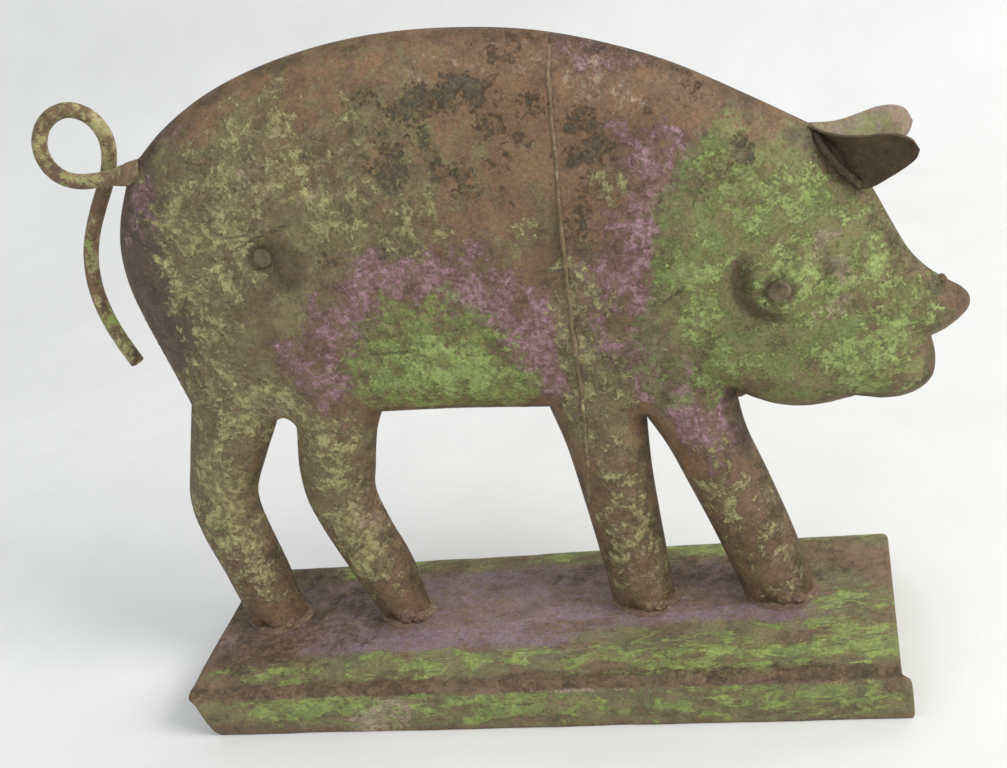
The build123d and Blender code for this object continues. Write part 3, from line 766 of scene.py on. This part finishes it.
def mask_group(tables, x, y):
    """A mask for each table of patches: a patch's strength in its middle, 0 at its edge and down to -1
    outside it, and the highest of them all."""
    group = []
    for table in tables:
        best = np.full(np.shape(x), -1.0)
        for along, up, wide, tall, turn, strength in table:
            c, s = math.cos(math.radians(turn)), math.sin(math.radians(turn))
            dx, dy = x - along, y - up
            reach = np.hypot((dx * c + dy * s) / wide, (dy * c - dx * s) / tall)
            outside = np.maximum(1.4 * (1 - reach), -1)
            best = np.maximum(best, np.where(reach < 1, strength * (1 - reach**2), outside))
        group.append(best)
    return np.stack(group, -1)


def side_masks(x, y, distance, side):
    """The twelve masks of the sides at places in the side view, in three groups of four."""
    warp = 0.0 if side == NEAR else FAR_WARP
    wx, wy = (
        spot + 2.5 * ripple(x, y, 14, seed + warp) + warp * ripple(x, y, 60, seed + 15)
        for spot, seed in ((x, 40), (y, 60))
    )
    rim = smooth(np.where(x > 70, 10.0, 7.0), 0.3, distance)
    rim *= 1 - 0.8 * smooth(16, 8, np.hypot(x + 72, y - 100))
    # shade_and_stain gathers painted shade round the eye bulge, the rivets, the hollows and under the ear's
    # root, and a darker band just left of the near seam between heights 136 and 168.
    shade_and_stain = np.zeros(len(x))
    if side == NEAR:
        gap = seam_at(y) - x
        shade_and_stain = smooth(7, 0, gap) * (gap > -1) * smooth(136, 146, y) * smooth(168, 156, y)
    # Painted shade: a dark crescent on the left and lower flank of the eye bulge, the side turned from the
    # light.
    eye = from_point(EYE, x, y)
    side_on = (x - EYE[0] + 0.35 * (y - EYE[1])) / np.maximum(eye, 1)
    eye_shade_crescent = smooth(5.4, 0.8, np.abs(eye - EYE_RADIUS + 1.4)) * smooth(0.25, -0.8, side_on)
    shade_and_stain = np.maximum(shade_and_stain, 1.05 * eye_shade_crescent)
    for along, up, narrow, begins, full, strength in SHADE_AND_GRIME_SPOTS:
        away = np.hypot(x - along, (y - up) * narrow)
        shade_and_stain = np.maximum(shade_and_stain, strength * smooth(begins, full, away))
    # Painted shadow on the head along the ear's root, where the ear shades it.
    root = to_line(np.array(EAR_ROOT)[:, :2], x, y)
    shade_and_stain = np.maximum(shade_and_stain, 0.85 * smooth(5.5, 1.0, root))
    nearest = np.min([to_line(line, x, y) for line in SCRATCHES], axis=0)
    scratch = np.exp(-((nearest / 0.9) ** 2))
    olive = mask_group([OLIVE_PATCHES], wx, wy)
    return {
        "paint_a": mask_group([LIME_PATCHES, LILAC_PATCHES, RUST_PATCHES, PLUM_AND_RUMP_SHADE_PATCHES], wx, wy),
        "paint_b": mask_group([GREEN_PATCHES, OCHRE_PATCHES, CREAM_PATCHES, DARK_PATCHES], wx, wy),
        # The wear masks' second channel is painted shade, with stains.
        "wear": np.column_stack([rim, shade_and_stain, scratch, olive]),
    }


# -------- side panels
FINE = 1.25               # spacing of the skins' points


def side_view_triangles():
    """Points and triangles that fill the side view, with the seam as an edge between triangles."""
    columns = np.arange(-114, 142, FINE)
    rows = np.arange(TRAY_TOP + 0.6, 212, FINE * 0.87)
    x, y = np.meshgrid(columns, rows)
    x = x + (np.arange(len(rows)) % 2)[:, None] * FINE / 2
    x, y = x.ravel(), y.ravel()
    keep = inside_outline(x, y)
    x, y = x[keep], y[keep]
    upper_seam = SEAM[SEAM[:, 1] > TRAY_TOP + 20]
    keep = (to_segments(OUTLINE, FOLLOWING, x, y) > 0.55) & (to_line(upper_seam, x, y) > 0.5)
    seam = SEAM[inside_outline(*SEAM.T)]
    seam = seam[to_segments(OUTLINE, FOLLOWING, *seam.T) > 0.5]
    points = np.vstack([OUTLINE, seam, np.stack([x[keep], y[keep]], -1)])
    count = len(OUTLINE)
    edges = [(i, (i + 1) % count) for i in range(count)]
    first, last = (int(np.argmin(np.hypot(*(OUTLINE - seam[k]).T))) for k in (0, -1))
    chain = [first, *range(count, count + len(seam)), last]
    edges += list(zip(chain, chain[1:]))
    made = delaunay_2d_cdt([Vector(p) for p in points], edges, [], 0, 1e-5)
    flat = np.array([tuple(v) for v in made[0]])
    triangles = np.array([tuple(f) for f in made[2]])
    triangles = triangles[inside_outline(*flat[triangles].mean(axis=1).T)]
    a, b, c = (flat[triangles[:, k]] for k in range(3))
    turn = (b[:, 0] - a[:, 0]) * (c[:, 1] - a[:, 1]) - (b[:, 1] - a[:, 1]) * (c[:, 0] - a[:, 0])
    triangles[turn < 0] = triangles[turn < 0][:, ::-1]
    return flat, triangles[np.abs(turn) > 1e-7]


SEAM_FOOT = 44            # under this height the rear sheet is what lies left of BETWEEN_LEGS
BETWEEN_LEGS = 5
FLAT, TRIANGLES = side_view_triangles()
MIDDLE_X, MIDDLE_Y = FLAT[TRIANGLES].mean(axis=1).T
REAR = MIDDLE_X < np.where(MIDDLE_Y > SEAM_FOOT, seam_at(MIDDLE_Y), BETWEEN_LEGS)


def shell(name, node_name, chosen, side):
    """A sheet-metal side: outer skin, inner skin and the cut edge that joins them."""
    used = np.unique(chosen)
    renumber = np.full(len(FLAT), -1)
    renumber[used] = np.arange(len(used))
    out = renumber[chosen] if side == NEAR else renumber[chosen][:, ::-1]
    x, y = FLAT[used].T
    distance, outer, inner = skin(x, y, side)
    count = len(used)
    vertices = np.vstack([place(x, y, outer, side), place(x, y, inner, side)])
    faces = [tuple(f) for f in out] + [tuple(f) for f in out[:, ::-1] + count]
    faces += [(b, a, a + count, b + count) for a, b in boundary_edges(out)]
    made = piece(name, vertices, faces, SIDES, "painted_sides", node_name)
    for key, values in side_masks(x, y, distance, side).items():
        give_masks(made, key, values)


shell("near_rear_skin", "near_rear_panel", TRIANGLES[REAR], NEAR)
shell("near_front_skin", "near_front_panel", TRIANGLES[~REAR], NEAR)
shell("far_side_skin", "far_side_panel", TRIANGLES, FAR)

# -------- seam between the near sheets
SEAM_STOPS = 1.2          # the bead ends this far inside the outline
SEAM_STEP = 0.8           # spacing of its points
# Across the bead: share of its half width, share of its rise, and how far it is bedded.
BEAD_SECTION = [
    (-1.6, 0, 0.4), (-1, 0.1, 0), (-0.55, 0.75, 0), (0, 1, 0),
    (0.55, 0.75, 0), (1, 0.1, 0), (1.6, 0, 0.4), (0, 0, 0.7),
]


def seam_ridge():
    """A low uneven bead of filler along the joint of the two near sheets, fading out at both ends."""
    kept = SEAM[inside_outline(*SEAM.T)]
    kept = kept[to_rolled_edge(*kept.T) > SEAM_STOPS]
    line = spline(kept[::2], SEAM_STEP)
    run = unit(np.gradient(line, axis=0))
    across = np.stack([run[:, 1], -run[:, 0]], -1)
    length = np.arange(len(line)) * SEAM_STEP
    fade = smooth(0, 5, length) * smooth(0, 14, length[-1] - length)
    half = 0.55 + 0.2 * ripple(length, 0, 6, 5)
    rise = (0.42 + 0.2 * ripple(length, 0, 5, 9)) * fade
    wander = 0.35 * ripple(length, 0, 18, 13)
    rings = []
    for share, lift, sink in BEAD_SECTION:
        x, y = (line + across * (half * share + wander)[:, None]).T
        rings.append(place(x, y, skin(x, y, NEAR)[1] + rise * lift - sink, NEAR))
    solid("seam_ridge", *tube(np.stack(rings, 1)), SEAM_FILLER, "filler_metal", "near_side_seam")


seam_ridge()


# -------- lumps of filler metal
def lump(name, node_name, material, spots):
    """Small uneven nuggets of weld, each given as centre, radii and a seed, in millimetres."""
    mesh = bmesh.new()
    for centre, radii, seed in spots:
        ball = bmesh.ops.create_icosphere(mesh, subdivisions=4, radius=1.0)
        for v in ball["verts"]:
            wave = 1 + 0.22 * noise.fractal(v.co * 1.6 + Vector((seed, 0, 0)), 0.6, 2.1, 4)
            v.co = Vector(centre) + Vector([c * r for c, r in zip(v.co * wave, radii)])
            v.co *= MM
    mesh.verts.index_update()
    vertices = [tuple(v.co) for v in mesh.verts]
    faces = [tuple(v.index for v in face.verts) for face in mesh.faces]
    mesh.free()
    piece(name, vertices, faces, material, "filler_metal", node_name)


def seen_at(along, up, near):
    """A point in the scene, in millimetres, given towards the near side."""
    return (BASE_X + along, FIGURE_Y - near, up)


lump("rim_tacks", "edge_tack_welds", RIM_FILLER, [
    (seen_at(75.4, 91.6, 0), (2.0, 2.0, 1.4), 3), (seen_at(133.0, 120.6, 0), (1.3, 1.6, 1.1), 8),
])

# -------- feet
NUGGET_SIDE = math.radians(150)     # round a foot, where its filler is thickest
BEDDED = 0.4                        # how far the filler's lowest ring lies in the tray
INTO_LEG = 1.2                      # how far its highest ring reaches into the leg


def foot_weld(name, leg, seed):
    """Filler round a leg where it stands on the tray, with a thicker nugget on the near side."""
    (_, left), (_, right) = leg
    x = left + (right - left) * (0.5 - 0.5 * np.cos(np.linspace(0, math.pi, 49)))
    height = face_height(np.minimum(x - left, right - x), x, np.full_like(x, TRAY_TOP))[0]
    loop = np.array([*zip(x, -height), *list(zip(x[::-1], height[::-1]))[1:-1]])
    loop += (np.roll(loop, 1, 0) + np.roll(loop, -1, 0) - 2 * loop) / 4
    run = unit(np.roll(loop, -1, 0) - np.roll(loop, 1, 0))
    out = np.stack([run[:, 1], -run[:, 0]], -1)
    out *= np.sign(((loop - ((left + right) / 2, 0.0)) * out).sum(axis=1))[:, None]
    turn = np.arange(len(loop)) / len(loop) * math.tau
    ring_x, ring_y = np.cos(turn) * 10, np.sin(turn) * 10
    thick = smooth(-0.3, 0.9, np.cos(turn - NUGGET_SIDE))
    width = 0.5 + 0.3 * ripple(ring_x, ring_y, 5, seed, 4) + 1.2 * thick
    tall = 0.7 + 0.4 * thick + 0.35 * ripple(ring_x, ring_y, 6, seed + 4, 4)
    levels = [(width * 1.05, np.full(len(loop), -BEDDED))]
    levels += [(width * (1 - share) ** 1.6, tall * share**1.3) for share in (0.0, 0.25, 0.5, 0.75, 1.0)]
    levels += [(np.full(len(loop), -INTO_LEG), tall)]
    rings = []
    for reach, level in levels:
        across, deep = (loop + out * reach[:, None]).T
        rings.append(metres(across, FIGURE_Y + deep, TRAY_TOP + level))
    solid(name + "_foot_filler", *tube(np.stack(rings)), FOOT_FILLER, "filler_metal", name + "_foot_weld")
    slit = left + SLIT_AT * (right - left)
    face = float(face_height(np.array([8.0]), np.array([slit]), np.array([TRAY_TOP]))[0][0])
    lump(name + "_nugget", name + "_foot_weld", FOOT_FILLER, [
        (seen_at(slit + 4.2, TRAY_TOP + 2.2, face - 1.6), (3.0, 2.2, 3.0), seed),
        (seen_at(slit + 7.8, TRAY_TOP + 1.2, face - 2.2), (2.6, 2.2, 1.9), seed + 2),
    ])


for number, (leg_name, leg_edges) in enumerate(LEGS.items()):
    foot_weld(leg_name, leg_edges, 20 + 3 * number)

# -------- rivets
DOME = 1.25               # height of a rivet's head
# The head from its middle to under the sheet: share of its radius, share of its height.
HEAD_PROFILE = [
    (0.0, 0.95), (0.35, 0.95), (0.62, 1.0), (0.80, 1.1), (0.92, 0.95), (1.0, 0.5),
    (1.03, 0.0), (1.0, -0.5), (0.5, -0.6),
]


def rivet(name, node_name, spot, radius, seed):
    """One rivet through both sides, with a flattened, hammered dome on each."""
    turn = np.arange(36) / 36 * math.tau
    c, s = np.cos(turn), np.sin(turn)
    rings = []
    for side in (NEAR, FAR):
        seat = float(skin(np.array([spot[0]]), np.array([spot[1]]), side)[1][0])
        for share, rise in HEAD_PROFILE[::-side]:
            r = max(share, 0.02) * radius * (1 + 0.05 * ripple(c * 4, s * 4, 3, seed + side, 3))
            lift = seat + DOME * rise + 0.12 * ripple(c * share * 6, s * share * 6, 3, seed + 5, 2)
            rings.append(place(spot[0] + r * c, spot[1] + r * s, lift, side))
    solid(name, *tube(np.stack(rings)), RIVETS, "painted_rivets", node_name)


rivet("eye_stud", "eye_rivet", EYE, 3.0, 5)
rivet("haunch_stud", "rump_rivet", HAUNCH, 2.9, 9)

# -------- tail
# Corners of the rod's path from the rump: along, up, and how far towards the far side.
TAIL_CORNERS = [
    (-83.0, 183.5, 0.0), (-98.5, 182.9, 0.0), (-109.5, 183.2, 0.1), (-116.2, 187.6, 0.8),
    (-117.9, 195.2, 1.6), (-113.2, 202.5, 2.4), (-105.0, 204.9, 3.3), (-98.4, 200.9, 4.2),
    (-96.3, 192.6, 5.0), (-100.8, 182.4, 5.4), (-109.2, 171.6, 5.0), (-116.0, 160.0, 4.2),
    (-118.6, 147.0, 3.2), (-117.0, 134.0, 2.3), (-112.6, 121.8, 1.6),
]
TAIL_RADIUS = 2.3
BRAZE_RADIUS, BRAZE_RINGS = 4.4, 22


def bspline(points, each=14):
    """Quadratic B-spline with the points as its control points, from the first to the last."""
    p = np.array(points, float)
    middle = (p[:-1] + p[1:]) / 2
    out = [p[0]]
    for a, corner, b in zip(middle, p[1:-1], middle[1:]):
        t = np.linspace(0, 1, each, endpoint=False)[:, None]
        out.extend((1 - t) ** 2 * a + 2 * t * (1 - t) * corner + t**2 * b)
    return np.array(out + [middle[-1], p[-1]])


def swept(line, radii, sides, seed):
    """Rings round a line with no twist, slightly uneven, in metres."""
    run = unit(np.gradient(line, axis=0))
    normal = np.cross(run[0], (0, 0, 1.0))
    turn = np.arange(sides) / sides * math.tau
    c, s = np.cos(turn), np.sin(turn)
    rings = []
    for i, (centre, direction) in enumerate(zip(line, run)):
        normal = unit(normal - direction * (normal @ direction))
        other = np.cross(direction, normal)
        reach = radii[i] * (1 + 0.03 * ripple(c * 5 + i, s * 5, 5, seed, 2))
        rings.append(centre + (c * reach)[:, None] * normal + (s * reach)[:, None] * other)
    return np.stack(rings) * MM


def tail():
    """The looped rod, cut off square at its end with worn edges."""
    line = bspline([(BASE_X + a, FIGURE_Y + far, up) for a, up, far in TAIL_CORNERS])
    onward = unit(line[-1] - line[-2])
    line = np.vstack([line[:-1], line[-1] + onward * np.array([[0.0], [0.35], [0.5]])])
    radii = np.full(len(line), TAIL_RADIUS)
    radii[-2:] -= (0.35, 0.9)
    solid("tail_rod", *tube(swept(line, radii, 22, 31)), ROD, "painted_tail", "tail_wire")


def braze():
    """Cone of filler where the tail leaves the rump."""
    share = np.linspace(0, 1, BRAZE_RINGS)
    line = np.stack([BASE_X - 85.5 - 11.5 * share, np.full(BRAZE_RINGS, FIGURE_Y), 183.4 - 0.4 * share], -1)
    radii = BRAZE_RADIUS + (TAIL_RADIUS + 0.15 - BRAZE_RADIUS) * share**0.8
    radii += 0.28 * ripple(share * 12, 0, 3, 4)
    radii[-1] = TAIL_RADIUS - 0.2
    solid("tail_filler", *tube(swept(line, radii, 28, 8)), FILLER, "filler_metal", "tail_braze")


tail()
braze()

# -------- ears
# Edges of an ear's leaf from its root to its tip: along, up, and how far out from the closing plane.
EAR_UPPER = [
    (100.8, 168.9, 0.8), (102.8, 168.5, 1.8), (106.2, 167.3, 4.2), (110.5, 166.4, 6.8), (115.8, 166.5, 9.6),
    (120.7, 166.9, 11.6), (124.9, 166.3, 12.6), (127.6, 164.8, 12.6), (129.2, 161.8, 11.6),
]
EAR_LOWER = [
    (110.0, 151.6, 2.0), (113.9, 150.9, 5.0), (117.2, 151.6, 6.2), (121.2, 153.8, 7.8), (125.5, 156.8, 9.4),
    (128.3, 159.5, 10.8), (129.2, 161.7, 11.6),
]
EAR_ROWS, EAR_COLUMNS = 46, 26
EAR_HOLLOW = 2.6          # how deep the leaf is cupped


def evenly(line, count):
    """A curve through points, as count points at even steps."""
    fine = spline(line, 0.2)
    length = np.concatenate([[0], np.cumsum(np.linalg.norm(np.diff(fine, axis=0), axis=1))])
    at = np.linspace(0, length[-1], count)
    return np.stack([np.interp(at, length, fine[:, k]) for k in range(3)], -1)


def ear(name, node_name, side, material, seed):
    """A cupped leaf of sheet, hollow on its near side, with a hammered edge and a bead at its root."""
    upper, lower = evenly(EAR_UPPER, EAR_ROWS), evenly(EAR_LOWER, EAR_ROWS)
    share = np.linspace(0, 1, EAR_COLUMNS)[None, :, None]
    leaf = upper[:, None] * (1 - share) + lower[:, None] * share
    normal = np.cross(np.gradient(leaf, axis=0), np.gradient(leaf, axis=1))
    normal[-1] = normal[-2]
    normal /= np.linalg.norm(normal, axis=2)[..., None] + 1e-9
    normal *= np.sign(normal[..., 2].mean())
    bowl = (4 * share * (1 - share))[..., 0] * smooth(1.0, 0.72, np.linspace(0, 1, EAR_ROWS))[:, None]
    depth = -EAR_HOLLOW * bowl + 0.3 * ripple(leaf[..., 0], leaf[..., 1], 7, seed)
    outer = leaf + normal * depth[..., None]
    sheets = [place(*np.moveaxis(sheet, -1, 0), side) for sheet in (outer, outer - normal * SHEET)]
    made = solid(name, *grid_sheet(*sheets), material, "painted_ears", node_name)
    bevel = made.modifiers.new("worn_edge", "BEVEL")
    bevel.width, bevel.segments = 0.2 * MM, 2
    bevel.limit_method, bevel.angle_limit = "ANGLE", math.radians(50)
    beads = []
    for k, (along, up, out) in enumerate(evenly(EAR_ROOT, 27)):
        size = 0.85 + 0.12 * math.sin(k * 1.3 + seed)
        centre = (BASE_X + along + 0.9, FIGURE_Y + side * (out - 0.9), up + 0.2)
        beads.append((centre, (size * 1.1, size, size * 1.2), seed + k))
    lump(name + "_filler", node_name + "_weld", SHADED_EAR_FILLER, beads)


ear("near_ear_leaf", "near_ear", NEAR, SHADED_NEAR_EAR, 6)
ear("far_ear_leaf", "far_ear", FAR, LIT_FAR_EAR, 14)

# -------- tray
TRAY_SHEET = 1.0          # thickness of the tray's metal
FOLD = 3.0                # height of the rounded fold between the top and a skirt
# Bands of colour on the tray: along, across, half length, half width, turn, strength.
TRAY_LIME = [
    (62, -24, 64, 7, 1, 0.75), (-34, -24, 62, 6, 1, 0.4), (100, -12, 14, 18, 0, 0.35),
    (50, 31, 60, 6, 0, 0.45), (-50, 31, 60, 6, 0, 0.0), (76, -45, 46, 6, 0, 0.2), (-62, -44, 30, 7, 0, 0.4),
    (10, -44, 50, 7, 0, 0.3), (-100, -42, 12, 5, 0, -0.1), (92, 8, 10, 8, 0, 0.15),
    (56, -18, 34, 8, 0, 0.25),
]
TRAY_PURPLE = [
    (-34, -13, 56, 9, -2, 0.5), (34, -5, 56, 8, 0, 0.4), (-10, 14, 80, 9, 0, 0.1), (72, 8, 20, 8, 0, 0.0),
    (-10, -8, 90, 14, 0, 0.05),
]
# The first dark band darkens the valley behind the near fold; the others are dark brown patches.
TRAY_DARK = [
    (0, -32.5, 130, 3.6, 0, 0.2), (-90, 10, 30, 34, 0, 0.1), (-96, 30, 26, 10, 0, 0.2),
    (60, 18, 50, 8, 0, 0.0),
]
TRAY_BARE = [
    (-52, -50, 7, 6, 0, 0.35), (20, -37.5, 14, 1.3, 0, 0.2), (-44, -45, 6, 5, 0, 0.0),
]


def tray_profile():
    """Points across the tray, as across and up, from the near skirt's foot over the top to the far
    skirt's foot."""
    half, top = TRAY_HALF_WIDTH, TRAY_TOP
    foot = [(half - 0.6, 0.0), (half - 0.25, 3.5), (half - 0.02, 8.0), (half - 0.25, 12.5),
            (half - 0.9, top - FOLD + 0.6)]
    near_fold = [(half - 1.7, top - 1.1), (half - 3.2, top - 0.55), (half - 5.4, top - 0.8),
                 (half - 8.5, top - 0.55), (half - 13, top - 0.06)]
    far_fold = [(half - 1.9, top - 0.8), (half - 3.6, top - 0.12), (half - 7, top - 0.02)]
    near = [(-across, up) for across, up in foot + near_fold]
    return spline([*near, (-12, top), (0, top), (12, top), *far_fold[::-1], *foot[::-1]], 0.9)


def tray_piece(name, node_name, sheets, along, across):
    """A sheet of the tray, painted where its points lie along and across the tray's bands."""
    made = solid(name, *grid_sheet(*sheets), BASE, "painted_base", node_name)
    give_masks(made, "paint_a", mask_group([TRAY_LIME, TRAY_PURPLE, TRAY_DARK, TRAY_BARE], along, across))


def tray():
    """The folded tray, its skirts bulging and their ends rounded."""
    profile = tray_profile()
    run = unit(np.gradient(profile, axis=0))
    normal = np.stack([-run[:, 1], run[:, 0]], -1)
    across, up = profile.T
    skirt = smooth(TRAY_TOP - 1.5, TRAY_TOP - 4.5, up)
    near = across < 0
    # The near skirt's right end is a rounded flap past the top's edge. Its left end slopes in to the foot.
    middle = (TRAY_TOP - 3) / 2
    flap = np.clip(1 - np.abs((up - middle) / (middle + 2.5)) ** 5, 0, 1) ** 0.5
    reach = np.where(near, 2.6 * flap - 2.5 * (1 - flap), -0.5)
    right = TRAY_HALF_LENGTH - 2.2 + reach * skirt
    slope = np.where(near, 4.6 * (1 - up / TRAY_TOP) + 1.5 * smooth(2.5, 0, up), 0.5)
    peak = np.exp(-(((up - (TRAY_TOP - 2.6)) / 1.6) ** 2)) * near
    left = -TRAY_HALF_LENGTH + 1.2 + slope * smooth(TRAY_TOP - 0.5, TRAY_TOP - 3, up) - 1.1 * peak
    share = np.linspace(0, 1, 200)
    x = left[:, None] + (right - left)[:, None] * share
    corner = np.clip((across - (TRAY_HALF_WIDTH - 6)) / 4.5, 0, 1) ** 2 * 2.2
    x = x - corner[:, None] * smooth(0.975, 1.0, share)
    across, up, skirt = across[:, None], up[:, None], skirt[:, None]
    sag = (0.28 * ripple(x, across, 34, 3, 3) - 0.25) * (1 - skirt)
    bulge = np.abs(0.45 * ripple(x, 5, 40, 8, 3) * skirt)
    uneven_foot = 0.25 * (1 + ripple(x, 0, 22, 21, 2)) * (up < 1)
    sheets = []
    for depth in (0.0, -TRAY_SHEET):
        y = across + normal[:, 0:1] * depth - np.sign(across) * bulge
        z = up + normal[:, 1:2] * depth + sag
        sheets.append(metres(x, y, np.maximum(z, uneven_foot)))
    # Down the skirts the paint's place runs on outwards, so that bands there have their own places.
    over = across + np.where(across < 0, -1, 1) * (TRAY_TOP - up) * skirt + 0 * x
    tray_piece("tray_sheet", "base_sheet", sheets, x.ravel(), over.ravel())


def tray_end(name, node_name, at, seed):
    """A strip that closes one end of the tray under the top."""
    half = TRAY_HALF_WIDTH - 2.2
    y, z = np.meshgrid(np.linspace(-half, half, 60), np.linspace(0.3, TRAY_TOP - TRAY_SHEET - 0.5, 12))
    x = at + 0.25 * ripple(y, z, 20, seed)
    sheets = [metres(x + depth, y, z) for depth in (0.0, TRAY_SHEET)]
    tray_piece(name, node_name, sheets, y.ravel() * 2, z.ravel() - 50)


tray()
tray_end("tray_left_end", "base_left_end", -TRAY_HALF_LENGTH + 6.4, 3)
tray_end("tray_right_end", "base_right_end", TRAY_HALF_LENGTH - 4.4, 7)


# -------- stage, lights and camera
def stage():
    """A plain pale floor that turns up into a plain backdrop."""
    g = Graph("pale_floor")
    g.colour = g.mix(g.spread(g.noise(60, 3, 4)), *tones(227, 227, 225, 232, 232, 230))
    g.height = g.noise(4, 9, 3)
    g.finish(0.9, 0.05)
    wall_y, radius, wide, tall, front = 520.0, 120.0, 1400.0, 1200.0, -900.0
    section = [(front, 0.0), (wall_y - radius, 0.0)]
    section += [(wall_y - radius + radius * math.sin(a), radius - radius * math.cos(a))
                for a in np.linspace(0, math.pi / 2, 24)[1:]]
    section += [(wall_y, tall)]
    vertices = [(x * MM, y * MM, z * MM) for y, z in section for x in (-wide, wide)]
    faces = [(2 * i, 2 * i + 1, 2 * i + 3, 2 * i + 2) for i in range(len(section) - 1)]
    smooth_mesh("floor", vertices, faces, g.material)


def area_light(name, position, target, size, power, colour):
    """A soft square light aimed at a point."""
    light = bpy.data.lights.new(name, "AREA")
    light.size, light.energy, light.color = size, power, colour
    made = in_scene(name, light)
    made.location = position
    made.rotation_mode = "QUATERNION"
    made.rotation_quaternion = (Vector(target) - Vector(position)).to_track_quat("-Z", "Y")


stage()
area_light("key", (1.05, -0.30, 0.95), (0, 0, 0.08), 0.55, 13.0, (1.0, 0.985, 0.96))
area_light("fill", (-0.5, -1.1, 0.9), (0, 0, 0.1), 1.2, 2.0, (0.95, 0.98, 1.0))

world = bpy.data.worlds.new("room")
world.use_nodes = True
world.node_tree.nodes["Background"].inputs["Color"].default_value = (0.93, 0.96, 1.0, 1.0)
world.node_tree.nodes["Background"].inputs["Strength"].default_value = 0.75
bpy.context.scene.world = world
bpy.context.scene.view_settings.view_transform = "Standard"

camera = bpy.data.cameras.new("camera")
camera.lens, camera.sensor_width = 46.47, 36.0
camera.clip_start, camera.clip_end = 0.01, 20.0
eye_point = in_scene("camera", camera)
right, upward, backward = (0.9584, 0.19, -0.2129), (0.0947, 0.492, 0.8654), (0.2692, -0.8496, 0.4536)
turned = Matrix((right, upward, backward)).transposed().to_4x4()
eye_point.matrix_world = Matrix.Translation((0.1017, -0.3289, 0.2798)) @ turned
bpy.context.scene.camera = eye_point
